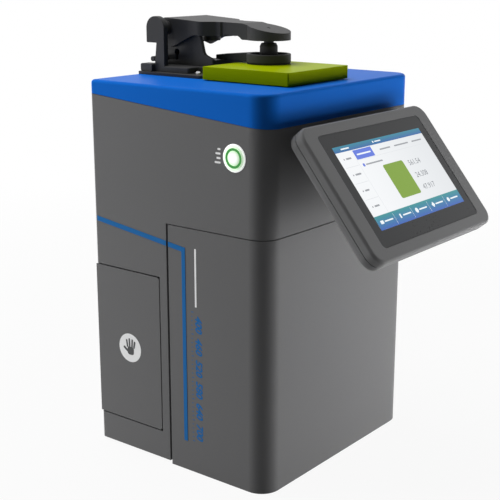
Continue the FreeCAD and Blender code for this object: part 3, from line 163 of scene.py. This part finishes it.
# Paint or moulded plastic: soft large-scale drift of tone, fine grain and slightly rounded edges.
def coated(name, look):
    finish = Finish(name)
    drift = finish.noise(paint["driftScale"], 3.0)
    grain = finish.noise(look["grainScale"], 2.0, 0.6)
    tone = (drift - 0.5) * look["drift"] + (grain - 0.5) * look["speckle"] + 0.5
    colour = finish.shades(tone.clamp(), look["colour"], paint["dark"], paint["pale"])
    rough = (drift - 0.5) * paint["roughDrift"] + (grain - 0.5) * paint["roughGrain"] + look["roughness"]
    return finish.surface(Base_Color=colour, Roughness=rough.clamp(),
                          Normal=finish.relief(grain, look["depth"], look["edge"]),
                          Specular_IOR_Level=look.get("specular", 0.5))


# Metal with fine drawn lines along one direction.
def drawnMetal(name, look):
    finish = Finish(name)
    lines = finish.noise(look["lineScale"], 2.0, 0.6, look["stretch"])
    drift = finish.noise(metal["driftScale"], 2.0)
    colour = finish.shades(lines, look["colour"], metal["dark"], metal["pale"])
    rough = (lines - 0.5) * metal["roughLines"] + (drift - 0.5) * metal["roughDrift"] + look["roughness"]
    return finish.surface(Base_Color=colour, Roughness=rough.clamp(), Metallic=1.0,
                          Normal=finish.relief(lines, look["depth"], look["edge"]))


finishes = {
    "greyPaint": coated("greyPaint", {
        "colour": (0.135, 0.135, 0.137), "roughness": 0.5, "specular": 0.07, "drift": 0.10, "speckle": 0.22,
        "grainScale": 1500.0, "depth": 0.00002, "edge": 0.0006}),
    "bluePaint": coated("bluePaint", {
        "colour": srgb(20, 97, 190), "roughness": 0.38, "specular": 0.025, "drift": 0.06, "speckle": 0.12,
        "grainScale": 1500.0, "depth": 0.000015, "edge": 0.0008}),
    "blueInk": coated("blueInk", {
        "colour": srgb(30, 98, 158), "roughness": 0.4, "specular": 0.1, "drift": 0.05, "speckle": 0.1,
        "grainScale": 1800.0, "depth": 0.00001, "edge": 0.0002}),
    "clampBlack": coated("clampBlack", {
        "colour": (0.042, 0.042, 0.043), "roughness": 0.46, "specular": 0.13, "drift": 0.2, "speckle": 0.35,
        "grainScale": 1900.0, "depth": 0.00003, "edge": 0.0009}),
    "darkShell": coated("darkShell", {
        "colour": (0.16, 0.161, 0.163), "roughness": 0.5, "specular": 0.12, "drift": 0.08, "speckle": 0.25,
        "grainScale": 2200.0, "depth": 0.00003, "edge": 0.0007}),
    "blackPlastic": coated("blackPlastic", {
        "colour": (0.02, 0.02, 0.021), "roughness": 0.45, "drift": 0.2, "speckle": 0.3,
        "grainScale": 1800.0, "depth": 0.00003, "edge": 0.0004}),
    "rubber": coated("rubber", {
        "colour": (0.018, 0.018, 0.018), "roughness": 0.8, "specular": 0.3, "drift": 0.3, "speckle": 0.5,
        "grainScale": 1200.0, "depth": 0.00005, "edge": 0.0005}),
    "whitePlastic": coated("whitePlastic", {
        "colour": (0.82, 0.83, 0.82), "roughness": 0.3, "drift": 0.05, "speckle": 0.06,
        "grainScale": 1500.0, "depth": 0.00001, "edge": 0.0004}),
    "sampleGreen": coated("sampleGreen", {
        "colour": srgb(146, 163, 2), "roughness": 0.34, "specular": 0.01, "drift": 0.05, "speckle": 0.06,
        "grainScale": 900.0, "depth": 0.00001, "edge": 0.0006}),
    "glassBlack": coated("glassBlack", {
        "colour": (0.055, 0.056, 0.058), "roughness": 0.3, "specular": 0.1, "drift": 0.1, "speckle": 0.04,
        "grainScale": 400.0, "depth": 0.000002, "edge": 0.0004}),
    "boardGreen": coated("boardGreen", {
        "colour": (0.01, 0.14, 0.05), "roughness": 0.4, "drift": 0.3, "speckle": 0.4,
        "grainScale": 500.0, "depth": 0.00003, "edge": 0.0002}),
    "opticsWhite": coated("opticsWhite", {
        "colour": (0.9, 0.9, 0.88), "roughness": 0.9, "specular": 0.1, "drift": 0.05, "speckle": 0.08,
        "grainScale": 1500.0, "depth": 0.00003, "edge": 0.0004}),
    "blackAlloy": drawnMetal("blackAlloy", {
        "colour": (0.06, 0.06, 0.063), "roughness": 0.4, "lineScale": 260.0, "stretch": (1.0, 8.0, 8.0),
        "depth": 0.00001, "edge": 0.0005}),
    "plainSteel": drawnMetal("plainSteel", {
        "colour": (0.62, 0.62, 0.63), "roughness": 0.26, "lineScale": 260.0, "stretch": (1.0, 8.0, 8.0),
        "depth": 0.00001, "edge": 0.0004}),
    "sheetSteel": drawnMetal("sheetSteel", {
        "colour": (0.5, 0.5, 0.51), "roughness": 0.36, "lineScale": 200.0, "stretch": (1.0, 6.0, 6.0),
        "depth": 0.00001, "edge": 0.0004}),
    "alloy": drawnMetal("alloy", {
        "colour": (0.6, 0.6, 0.61), "roughness": 0.34, "lineScale": 220.0, "stretch": (6.0, 1.0, 6.0),
        "depth": 0.00001, "edge": 0.0004}),
}


# What all lit faces share.
litFace = {"under": (0.02, 0.02, 0.02, 1.0), "roughness": 0.2, "specular": 0.3, "grainScale": 700.0,
           "dark": 0.985, "pale": 1.015}


# A lit face: a near-black surface that gives off its own colour.
def glowing(finish, colour, strength=1.0):
    return finish.surface(Base_Color=litFace["under"], Emission_Color=colour, Emission_Strength=strength,
                          Roughness=litFace["roughness"], Specular_IOR_Level=litFace["specular"])


def lit(name, colour, strength=1.0):
    finish = Finish(name)
    grain = finish.noise(litFace["grainScale"], 1.0)
    return glowing(finish, finish.shades(grain, colour, litFace["dark"], litFace["pale"]), strength)


finishes["greenLight"] = lit("greenLight", srgb(30, 180, 70), 0.8)

dressed = {
    "greyPaint": ["main_housing", "front_cover", "side_door"],
    "bluePaint": ["lid"],
    "blueInk": ["side_stripe"],
    "clampBlack": ["clamp_plate", "clamp_bracket", "clamp_frame", "clamp_rear_pin", "clamp_arm",
                   "press_spindle", "press_ring"],
    "darkShell": ["screen_back_shell", "screen_front_shell"],
    "blackPlastic": ["door_hinge_bosses", "chamber_liner", "cell_holder", "door_catch", "power_inlet",
                     "switch_frame", "power_switch", "pivot_spacers", "display_panel"],
    "rubber": ["rubber_feet", "press_pad"],
    "whitePlastic": ["button_bezel", "test_button"],
    "sampleGreen": ["sample_tile"],
    "glassBlack": ["screen_glass"],
    "boardGreen": ["main_board", "screen_board"],
    "opticsWhite": ["integrating_sphere"],
    "blackAlloy": ["port_ring", "spectrometer_module", "lamp_module", "screen_bracket", "screen_hinge_block"],
    "plainSteel": ["door_hinge_pins", "deck_posts", "screen_hinge_pin", "clamp_screws", "clamp_pivot_pin",
                   "data_ports"],
    "sheetSteel": ["base_tray", "power_supply", "rear_panel"],
    "alloy": ["optics_deck", "sphere_cradle"],
    "greenLight": ["button_light_ring"],
}
for key, names in dressed.items():
    for name in names:
        for slot in nodes[name].material_slots:
            slot.material = finishes[key]
bare = sorted(set(nodes) - {name for names in dressed.values() for name in names})
print("frame dressed; without a finish:", bare)


# Flat marks gathered into one thin mesh. Each is a fan of rings: its rim, shrunk to its middle.
class Marks:
    def __init__(self):
        self.points, self.faces, self.tints = [], [], []
        self.count = 0

    # rim: n x 2 outline round its own middle, anticlockwise seen from outside
    def add(self, rim, x, y, lift, tint):
        rim = np.asarray(rim, float)
        count = len(rim)
        rings = np.array((1.0, 0.5))[:, None, None] * rim[None]
        flat = np.concatenate([rings.reshape(-1, 2), [[0.0, 0.0]]]) + (x, y)
        self.points.append(np.column_stack([flat, np.full(len(flat), lift)]))
        i = np.arange(count)
        j = (i + 1) % count
        base = self.count
        quads = np.stack([i, j, j + count, i + count], 1) + base
        fan = np.stack([i + count, j + count, np.full(count, 2 * count)], 1) + base
        self.faces += quads.tolist() + fan.tolist()
        self.tints += [tint] * (2 * count)
        self.count += len(flat)

    def build(self, name, body, place, materials):
        points = place(np.concatenate(self.points))
        meshPiece(name, body, points, self.faces, materials, self.tints)


# A new piece from points and faces; tints gives the number of each face's material.
def meshPiece(name, body, points, faces, materials, tints=None, smooth=False):
    mesh = bpy.data.meshes.new(name)
    mesh.from_pydata(np.asarray(points).tolist(), [], faces)
    for material in materials:
        mesh.materials.append(material)
    if tints is not None:
        mesh.polygons.foreach_set("material_index", np.asarray(tints, np.int32))
    mesh.polygons.foreach_set("use_smooth", np.full(len(mesh.polygons), smooth))
    mesh.update()
    piece = bpy.data.objects.new(name, mesh)
    bpy.context.scene.collection.objects.link(piece)
    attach(piece, body)
    return piece


# Turns flat points by an angle, anticlockwise.
def swung(points, angle):
    c, s = math.cos(angle), math.sin(angle)
    return points @ np.array(((c, s), (-s, c)))


# Rounded rectangle: four quarter circles of one radius, one at each corner.
def roundedRim(width, height, radius, steps=6):
    radius = min(radius, width / 2 - 1e-6, height / 2 - 1e-6)
    turn = np.linspace(0, math.pi / 2, steps)
    quarter = np.stack([np.cos(turn), np.sin(turn)], 1) * radius
    rim = []
    for k, (sx, sy) in enumerate(((1, 1), (-1, 1), (-1, -1), (1, -1))):
        corner = (sx * (width / 2 - radius), sy * (height / 2 - radius))
        rim.append(swung(quarter, k * math.pi / 2) + corner)
    return np.concatenate(rim)


# A circle is the rim whose radius is the same at every angle.
def roundRim(radius, steps=32):
    turn = np.linspace(0, 2 * math.pi, steps, endpoint=False)
    return np.stack([np.cos(turn), np.sin(turn)], 1) * radius


# A capsule: the rounded rectangle whose radius is half its width, swung by an angle.
def capsuleRim(length, width, angle):
    return swung(roundedRim(length, width, width / 2, 7), angle)


# Plain numbers as flat polygons in the mark plane: a text curve made a mesh, then set in place.
# style: height, and where it isn't zero the turn, the lean and the bold of the figures.
def numberPiece(name, body, text, spot, place, material, style):
    curve = bpy.data.curves.new(name + "Curve", "FONT")
    curve.body = text
    curve.size = 1.0
    curve.align_x = style["align"]
    curve.align_y = "CENTER"
    curve.resolution_u = 3
    curve.shear = style.get("lean", 0.0)
    curve.offset = style.get("bold", 0.0)
    holder = bpy.data.objects.new(name + "Curve", curve)
    bpy.context.scene.collection.objects.link(holder)
    bpy.context.view_layer.update()
    shape = bpy.data.meshes.new_from_object(holder.evaluated_get(bpy.context.evaluated_depsgraph_get()))
    bpy.data.objects.remove(holder)
    flat = np.zeros(len(shape.vertices) * 3)
    shape.vertices.foreach_get("co", flat)
    flat = swung(flat.reshape(-1, 3)[:, :2] * style["tall"], style.get("turn", 0.0)) + spot[:2]
    faces = [list(p.vertices) for p in shape.polygons]
    bpy.data.meshes.remove(shape)
    points = place(np.column_stack([flat, np.full(len(flat), spot[2])]))
    meshPiece(name, body, points, faces, [material])


# Screen plane: x to the right, y up from the hinge axis, lift off the glass.
screenPlane = {"dip": 51.09, "hingeY": -0.12804, "hingeZ": 0.31526, "top": 0.030, "glass": 0.0267}
dipCos, dipSin = math.cos(math.radians(screenPlane["dip"])), math.sin(math.radians(screenPlane["dip"]))


def onScreen(flat):
    x, y, out = flat[:, 0], flat[:, 1], flat[:, 2] + screenPlane["glass"]
    return np.column_stack([x, screenPlane["hingeY"] + y * dipCos - out * dipSin,
                            screenPlane["hingeZ"] + y * dipSin + out * dipCos])


cadWall = -0.125  # X of the housing's left side


# Left wall plane: across runs towards the front (-Y) as seen from outside, up is Z.
def onLeftWall(flat):
    return np.column_stack([cadWall - flat[:, 2], -flat[:, 0], flat[:, 1]])


# A lit tint that changes evenly up the screen, or across it.
def screenGradient(name, low, high, first, last, across=False):
    finish = Finish(name)
    if across:
        run = finish.along((1.0, 0.0, 0.0))
    else:
        start = screenPlane["hingeY"] * dipCos + screenPlane["hingeZ"] * dipSin
        run = finish.along((0.0, dipCos, dipSin)) - start
    return glowing(finish, finish.blend(run.climb(low, high), first, last))


# Screen picture: x from the middle of the screen, s down from the tablet's upper edge. A block is
# left, right, upper and lower edge.
picture = {
    "page": (-0.0768, 0.0774, 0.0257, 0.1124), "headBottom": 0.0318, "footTop": 0.0985,
    "pageShade": (-0.05, 0.09), "pageRound": 0.0006, "sharpRound": 0.00005, "lift": 0.00005, "layer": 0.00002,
    "tints": {"page": srgb(238, 240, 242), "pageDim": srgb(218, 221, 224), "tab": srgb(84, 112, 214),
              "swatch": srgb(118, 154, 28), "rule": srgb(214, 217, 221), "ink": srgb(150, 153, 158),
              "icon": srgb(236, 242, 246), "value": srgb(120, 124, 130),
              "head": (srgb(30, 92, 158), srgb(32, 128, 150)),
              "foot": (srgb(40, 88, 176), srgb(34, 140, 142))},
    "blueTab": (-0.0502, -0.0196, 0.0325, 0.0424), "blueTabBar": (-0.0466, -0.0233, 0.0366, 0.0382),
    "swatch": (-0.0185, 0.0168, 0.0537, 0.0903), "swatchRound": 0.0022,
    "listRules": (0.0475, 0.0643, 0.0812), "listEdges": (-0.0736, -0.0526), "ruleThick": 0.0004,
    "listRight": (-0.0518, -0.0514), "tabRule": (0.0428, 0.0431),
    "listRows": ((0.0392, 0.0086), (0.0559, 0.0094), (0.0727, 0.0070), (0.0892, 0.0082)),
    "listDot": (-0.0692, 0.0009), "listBar": (-0.0662, 0.0009, 0.0008),
    "headBars": ((-0.0655, -0.0522, 0.0282, 0.0296), (-0.0085, 0.0022, 0.0282, 0.0294)),
    "headDot": (-0.0112, 0.0288, 0.0011), "headRound": 0.0006,
    "plainTabs": ((-0.0076, 0.0112), (0.0184, 0.0444), (0.0514, 0.0700)), "plainTabRows": (0.0371, 0.0386),
    "barRound": 0.0007, "bullet": (-0.0452, 0.0488, 0.0032, 0.0006),
    "bulletBar": (-0.0420, -0.0130, 0.0481, 0.0496),
    "icons": (roundedRim(0.0052, 0.0034, 0.0006), roundedRim(0.0024, 0.0044, 0.0005),
              roundRim(0.0026, 20), roundRim(0.0029, 4), roundRim(0.0025, 6)),
    "iconPlaces": (-0.0690, -0.0372, -0.0078, 0.0232, 0.0528), "iconRow": 0.1052,
    "iconBar": (0.0042, 0.0186, 0.1045, 0.1059), "footRules": (-0.0470, -0.0162, 0.0146, 0.0454),
    "footRule": (0.00015, 0.1000, 0.1110),
    "values": (("561.54", 0.0588), ("24.308", 0.0724), ("47.917", 0.0860)), "valueLeft": 0.0245,
    "valueStyle": {"tall": 0.0080, "align": "LEFT"},
}


def makeScreenPicture():
    p = picture
    t = p["tints"]
    top = screenPlane["top"]
    left, right, pageTop, pageBottom = p["page"]
    tints = [screenGradient("pagePaper", *p["pageShade"], t["page"], t["pageDim"], True),
             lit("tabBlue", t["tab"]), lit("swatchGreen", t["swatch"]), lit("ruleGrey", t["rule"]),
             lit("inkGrey", t["ink"]), lit("iconWhite", t["icon"]),
             screenGradient("headBand", top - p["headBottom"], top - pageTop, *t["head"]),
             screenGradient("footBand", top - pageBottom, top - p["footTop"], *t["foot"])]
    page, tab, swatch, rule, ink, icon, head, foot = range(8)
    marks = Marks()

    def height(layer):
        return p["lift"] + p["layer"] * layer

    def block(x0, x1, s0, s1, tint, layer, radius=0.0):
        marks.add(roundedRim(x1 - x0, s1 - s0, max(radius, p["sharpRound"]), 5 if radius else 2),
                  (x0 + x1) / 2, top - (s0 + s1) / 2, height(layer), tint)

    def shape(rim, x, s, tint):
        marks.add(rim, x, top - s, height(2), tint)

    block(*p["page"], page, 0, p["pageRound"])
    block(left, right, pageTop, p["headBottom"], head, 1)
    block(left, right, p["footTop"], pageBottom, foot, 1)
    block(*p["blueTab"], tab, 1, p["pageRound"])
    block(*p["swatch"], swatch, 1, p["swatchRound"])
    for s in p["listRules"]:
        block(*p["listEdges"], s, s + p["ruleThick"], rule, 1)
    block(*p["listRight"], p["headBottom"], p["footTop"], rule, 1)
    block(p["listRight"][1], right, *p["tabRule"], rule, 1)
    # left list: a dot and a short bar in each row
    dotX, dotRadius = p["listDot"]
    barX, barHalf, barRound = p["listBar"]
    for s, long in p["listRows"]:
        shape(roundRim(dotRadius, 12), dotX, s, ink)
        block(barX, barX + long, s - barHalf, s + barHalf, ink, 2, barRound)
    # head band and the three plain tabs beside the blue one
    firstBar, secondBar = p["headBars"]
    dotX, dotRow, dotRadius = p["headDot"]
    block(*firstBar, icon, 2, p["headRound"])
    shape(roundRim(dotRadius, 12), dotX, dotRow, icon)
    block(*secondBar, icon, 2, p["headRound"])
    for x0, x1 in p["plainTabs"]:
        block(x0, x1, *p["plainTabRows"], ink, 2, p["barRound"])
    block(*p["blueTabBar"], icon, 2, p["barRound"])
    bulletX, bulletRow, bulletSide, bulletRound = p["bullet"]
    shape(roundedRim(bulletSide, bulletSide, bulletRound), bulletX, bulletRow, tab)
    block(*p["bulletBar"], ink, 2, p["barRound"])
    # foot band: five plain icons, each with a bar, and the lines between them
    barFrom, barTo, barTop, barBottom = p["iconBar"]
    for rim, x in zip(p["icons"], p["iconPlaces"]):
        shape(rim, x, p["iconRow"], icon)
        block(x + barFrom, x + barTo, barTop, barBottom, icon, 2, p["barRound"])
    half, ruleTop, ruleBottom = p["footRule"]
    for x in p["footRules"]:
        block(x - half, x + half, ruleTop, ruleBottom, icon, 2)
    marks.build("screenPicture", "screen", onScreen, tints)
    inkTint = lit("valueGrey", t["value"])
    for k, (text, s) in enumerate(p["values"]):
        numberPiece(f"screenValue{k + 1}", "screen", text, (p["valueLeft"], top - s, height(3)), onScreen,
                    inkTint, p["valueStyle"])
    print("screen picture made")


makeScreenPicture()


# Marks on the left wall: x towards the front, z up, both from the object's origin.
wallMarks = {
    "lift": 0.00006, "finger": 0.00001,
    "print": {"roughness": 0.5, "specular": 0.1, "drift": 0.06, "grainScale": 1500.0, "depth": 0.00001,
              "edge": 0.0001},
    "disc": {"radius": 0.01525, "x": -0.065, "z": 0.113, "colour": srgb(230, 231, 232)},
    # open hand from the disc's middle: palm as size, corner and place, then each finger as its
    # foot, length and angle, then the thumb as place, length, width and angle
    "hand": {"colour": srgb(84, 85, 86), "palm": (0.0088, 0.0086, 0.0026), "palmAt": (0.0008, -0.0030),
             "fingers": ((-0.0038, 0.0086, 100.0), (-0.0008, 0.0102, 93.0), (0.0023, 0.0098, 86.0),
                         (0.0050, 0.0080, 79.0)),
             "fingerWide": 0.00215, "sunk": 0.9, "fingerAt": (0.0004, 0.0006),
             "thumbAt": (-0.0056, -0.0020), "thumb": (0.0082, 0.0025, 146.0)},
    "line": {"x": 0.025, "top": 0.2326, "bottom": 0.1745, "wide": 0.0021, "round": 0.0003,
             "colour": srgb(247, 248, 249)},
    # bar symbol beside the button: x where its bars end, z of its middle, each bar's rise and length
    "bars": {"x": 0.0573, "z": 0.3255, "wide": 0.0019, "round": 0.0007,
             "rows": ((0.0062, 0.0036), (0.0021, 0.0060), (-0.0021, 0.0048), (-0.0062, 0.0070))},
    "scale": {"top": 0.1690, "bottom": 0.0340, "ticks": 31, "each": 5, "long": 0.0030, "short": 0.0017,
              "thick": 0.0007, "round": 0.0002, "x": 0.0189},
    "numbers": ("400", "460", "520", "580", "640", "700"), "numberAt": 0.0278,
    "numberStyle": {"tall": 0.0112, "lean": 0.28, "bold": 0.035, "turn": -math.pi / 2, "align": "CENTER"},
}


# Door disc with an open hand, white line, wavelength scale and bar symbol on the left side.
def makeWallMarks():
    w = wallMarks
    disc, hand, line, bars, scale = w["disc"], w["hand"], w["line"], w["bars"], w["scale"]

    def printed(name, colour, speckle=0.08):
        return coated(name, {**w["print"], "colour": colour, "speckle": speckle})

    paper, dark = printed("discGrey", disc["colour"]), printed("handGrey", hand["colour"])
    white = printed("lineWhite", line["colour"], 0.06)
    sign = Marks()
    x, z = disc["x"], disc["z"]
    sign.add(roundRim(disc["radius"], 64), x, z, w["lift"], 0)
    lift = w["lift"] * 2
    palmX, palmZ = hand["palmAt"]
    sign.add(roundedRim(*hand["palm"]), x + palmX, z + palmZ, lift, 1)
    fingerX, fingerZ = hand["fingerAt"]
    for k, (foot, length, angle) in enumerate(hand["fingers"]):
        turn = math.radians(angle)
        reach = length / 2 * hand["sunk"]
        sign.add(capsuleRim(length, hand["fingerWide"], turn), x + foot + math.cos(turn) * reach + fingerX,
                 z + fingerZ + math.sin(turn) * reach, lift + w["finger"] * (k + 1), 1)
    thumbX, thumbZ = hand["thumbAt"]
    length, wide, angle = hand["thumb"]
    sign.add(capsuleRim(length, wide, math.radians(angle)), x + thumbX, z + thumbZ, lift + w["finger"] * 6, 1)
    sign.build("doorSign", "door", onLeftWall, [paper, dark])

    strokes = Marks()
    strokes.add(roundedRim(line["wide"], line["top"] - line["bottom"], line["round"]),
                line["x"], (line["top"] + line["bottom"]) / 2, w["lift"], 0)
    for rise, long in bars["rows"]:
        strokes.add(roundedRim(long, bars["wide"], bars["round"]), bars["x"] - long / 2, bars["z"] + rise,
                    w["lift"], 0)
    strokes.build("whitePrint", "root", onLeftWall, [white])

    ticks = Marks()
    run = scale["bottom"] - scale["top"]
    for k in range(scale["ticks"]):
        wide = scale["long"] if k % scale["each"] == 0 else scale["short"]
        ticks.add(roundedRim(wide, scale["thick"], scale["round"], 3), scale["x"] + wide / 2,
                  scale["top"] + run * k / (scale["ticks"] - 1), w["lift"], 0)
    ticks.build("waveScale", "root", onLeftWall, [finishes["blueInk"]])
    for k, text in enumerate(w["numbers"]):
        z = scale["top"] + run * (k + 0.5) / len(w["numbers"])
        numberPiece(f"waveNumber{k + 1}", "root", text, (w["numberAt"], z, w["lift"]), onLeftWall,
                    finishes["blueInk"], w["numberStyle"])
    print("wall marks made")


makeWallMarks()


# Test button in three turned pieces, outlines as radius and height out of the wall in mm. Its white collar
# and cap give off a painted glow, and a painted green spill of the ring light tints the white round the ring:
# a glow is the two radii, in metres, between which the tint changes.
button = {
    "y": -0.0735, "z": sum(corner[2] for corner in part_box("test_button")) / 2, "steps": 96, "sharp": 40.0,
    "collar": ((9.35, -8.0), (11.9, -8.0), (11.9, -0.5), (13.0, -0.1), (13.0, 0.35), (12.8, 0.6),
               (12.4, 0.72), (10.3, 0.66), (10.0, 0.72), (9.85, 1.2), (9.7, 1.42), (9.35, 1.5)),
    "ring": ((7.05, -8.0), (9.3, -8.0), (9.3, 1.5), (9.1, 1.66), (8.9, 1.7), (7.4, 1.7), (7.15, 1.6),
             (7.05, 1.4)),
    "cap": ((0.0, -6.0), (7.0, -6.0), (7.0, 1.2), (6.85, 1.5), (6.5, 1.66), (3.5, 1.76), (0.0, 1.8)),
    # the pale green tints are a painted spill of the ring light on the white, and the glow strength of the
    # white is a painted glow
    "collarGlow": (0.0085, 0.0128), "capGlow": (0.003, 0.007), "collarInner": srgb(196, 240, 188),
    "white": srgb(250, 250, 250), "capEdge": srgb(206, 240, 200), "ringTint": srgb(50, 142, 56), "lit": 0.42,
    "grainScale": 900.0, "roughness": 0.3, "roughGrain": 0.06, "specular": 0.3,
}


# White plastic with a painted glow: it gives off its own tint, which changes with the distance from the
# button's axis, to a painted green spill near the ring.
def paintedGlowWhite(name, inner, outer, span):
    b = button
    finish = Finish(name)
    across = finish.along((0.0, 1.0, 0.0)) - b["y"]
    up = finish.along((0.0, 0.0, 1.0)) - b["z"]
    far = (across * across + up * up) ** 0.5
    tint = finish.blend(far.climb(*span), inner, outer)
    rough = (finish.noise(b["grainScale"], 2.0) - 0.5) * b["roughGrain"] + b["roughness"]
    return finish.surface(Base_Color=tint, Emission_Color=tint, Emission_Strength=b["lit"],
                          Roughness=rough, Specular_IOR_Level=b["specular"])


# A profile carried round the button's axis: radius times cosine along Y, radius times sine along Z.
def turnedPiece(name, body, profile, material, stands):
    radius, height = np.array(profile).T / 1000.0
    turn = np.linspace(0, 2 * math.pi, button["steps"], endpoint=False)
    points = np.stack([np.broadcast_to(cadWall - height[:, None], (len(radius), len(turn))),
                       button["y"] - np.outer(radius, np.cos(turn)),
                       button["z"] + np.outer(radius, np.sin(turn))], -1)
    count, around = len(radius), len(turn)
    i, j = np.meshgrid(np.arange(count), np.arange(around), indexing="ij")
    if radius[0] == 0.0:
        i, j = i[:-1], j[:-1]
    onward, next_ = (i + 1) % count, (j + 1) % around
    faces = np.stack([i * around + j, i * around + next_, onward * around + next_, onward * around + j], -1)
    piece = meshPiece(name, body, points.reshape(-1, 3), faces.reshape(-1, 4).tolist(), [material],
                      smooth=True)
    made = bmesh.new()
    made.from_mesh(piece.data)
    bmesh.ops.remove_doubles(made, verts=made.verts, dist=1e-6)
    bmesh.ops.recalc_face_normals(made, faces=made.faces)
    made.to_mesh(piece.data)
    made.free()
    piece.data.set_sharp_from_angle(angle=math.radians(button["sharp"]))
    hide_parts(stands)


def makeButton():
    b = button
    collarWhite = paintedGlowWhite("collarWhite", b["collarInner"], b["white"], b["collarGlow"])
    capWhite = paintedGlowWhite("capWhite", b["white"], b["capEdge"], b["capGlow"])
    turnedPiece("buttonCollar", "root", b["collar"], collarWhite, "button_bezel")
    turnedPiece("buttonRing", "root", b["ring"], lit("ringGreen", b["ringTint"]),
                "button_light_ring")
    turnedPiece("buttonCap", "test_button", b["cap"], capWhite, "test_button")
    print("button made")


makeButton()


# Floor: a wide sheet that fades to white away from the object and keeps its shadow.
stage = {"rings": (0.3, 1.0, 4.0, 12.0, 30.0), "around": 96, "near": 0.35, "far": 1.4, "whiteNear": 0.93,
         "cloudScale": 3.0, "dark": (0.5, 0.5, 0.5), "pale": (0.54, 0.54, 0.54), "roughness": 0.9}


# A flat disc on a few rings: radius times cosine along X, radius times sine along Y.
def makeFloor():
    s = stage
    finish = Finish("paleFloor")
    away = finish.add("ShaderNodeVectorMath", {"operation": "LENGTH"}, {0: finish.place})
    fade = finish.out(away, "Value").climb(s["near"], s["far"]) * (1.0 - s["whiteNear"]) + s["whiteNear"]
    tone = finish.blend(finish.noise(s["cloudScale"], 2.0), s["dark"], s["pale"])
    matt = finish.add("ShaderNodeBsdfPrincipled", None, {"Base Color": tone, "Roughness": s["roughness"],
                                                        "Specular IOR Level": 0.0})
    white = finish.add("ShaderNodeEmission", None, {"Color": (1.0, 1.0, 1.0, 1.0), "Strength": 1.0})
    mixed = finish.add("ShaderNodeMixShader", None, {0: finish.seen() * fade, 1: finish.out(matt),
                                                     2: finish.out(white)})
    finish.add("ShaderNodeOutputMaterial", None, {"Surface": finish.out(mixed)})
    mesh = bpy.data.meshes.new("floor")
    around = s["around"]
    turn = np.linspace(0, 2 * math.pi, around, endpoint=False)
    x = np.outer(s["rings"], np.cos(turn)).ravel()
    y = np.outer(s["rings"], np.sin(turn)).ravel()
    points = np.column_stack([x, y, np.zeros(len(x))])
    i = np.arange(around)
    j = (i + 1) % around
    faces = [i.tolist()]
    for inner in range(0, around * (len(s["rings"]) - 1), around):
        outer = inner + around
        faces += np.stack([i + inner, i + outer, j + outer, j + inner], 1).tolist()
    mesh.from_pydata(points.tolist(), [], faces)
    mesh.materials.append(finish.material)
    floor = bpy.data.objects.new("floor", mesh)
    bpy.context.scene.collection.objects.link(floor)
    print("floor made")


makeFloor()


light = {
    "fill": 0.02, "sky": (1.0, 1.0, 1.0, 1.0),
    # name: power, size, place, point that it faces, spread in degrees
    "lamps": {
        "lampLeftRear": (42.0, (1.1, 0.6), (-0.85, 1.45, 0.10), (0.0, 0.0, 0.03), 180.0),
        "lampRightFar": (15.0, (1.0, 0.4), (1.1, -1.0, 0.05), (0.0, 0.0, 0.05), 180.0),
        "lampRightNear": (2.3, (0.5, 0.2), (0.62, -0.56, 0.02), (0.0, -0.05, 0.0), 90.0),
        "lampFrontLow": (1.8, (0.5, 0.25), (0.2, -0.48, 0.01), (-0.02, -0.12, 0.3), 180.0),
        "lampTop": (20.0, (1.0, 1.0), (-0.15, 0.4, 1.45), (0.0, 0.0, 0.35), 180.0),
    },
}


def makeLamp(name, power, size, where, target, spread):
    data = bpy.data.lights.new(name, "AREA")
    data.energy = power
    data.shape = "RECTANGLE"
    data.size, data.size_y = size
    data.spread = math.radians(spread)
    lamp = bpy.data.objects.new(name, data)
    bpy.context.scene.collection.objects.link(lamp)
    lamp.location = where
    lamp.visible_camera = False
    lamp.visible_glossy = False
    aim = np.array(target) - np.array(where)
    flat = math.hypot(aim[0], aim[1])
    lamp.rotation_euler = (math.pi / 2 + math.atan2(aim[2], flat), 0.0, math.atan2(-aim[0], aim[1]))


# The world is white where it is looked at or mirrored, and a faint fill light otherwise.
def makeLight():
    world = bpy.data.worlds.new("studio")
    bpy.context.scene.world = world
    world.use_nodes = True
    air = Finish("studioAir", world.node_tree)
    strength = air.seen() * (1.0 - light["fill"]) + light["fill"]
    sky = air.add("ShaderNodeBackground", None, {"Color": light["sky"], "Strength": strength})
    air.add("ShaderNodeOutputWorld", None, {"Surface": air.out(sky)})
    for name, values in light["lamps"].items():
        makeLamp(name, *values)
    print("light set")


makeLight()


# back points from the object to the camera
camera = {"lens": 78.376, "sensor": 36.0, "clip": (0.05, 100.0), "place": (-0.8777, -0.6822, 0.4981),
          "back": (-0.7600, -0.5966, 0.2579)}


def makeCamera():
    data = bpy.data.cameras.new("camera")
    data.lens = camera["lens"]
    data.sensor_width = camera["sensor"]
    data.clip_start, data.clip_end = camera["clip"]
    viewer = bpy.data.objects.new("camera", data)
    bpy.context.scene.collection.objects.link(viewer)
    viewer.location = camera["place"]
    bx, by, bz = camera["back"]
    viewer.rotation_euler = (math.pi / 2 - math.asin(bz), 0.0, math.atan2(bx, -by))
    bpy.context.scene.camera = viewer
    print("camera set")


makeCamera()
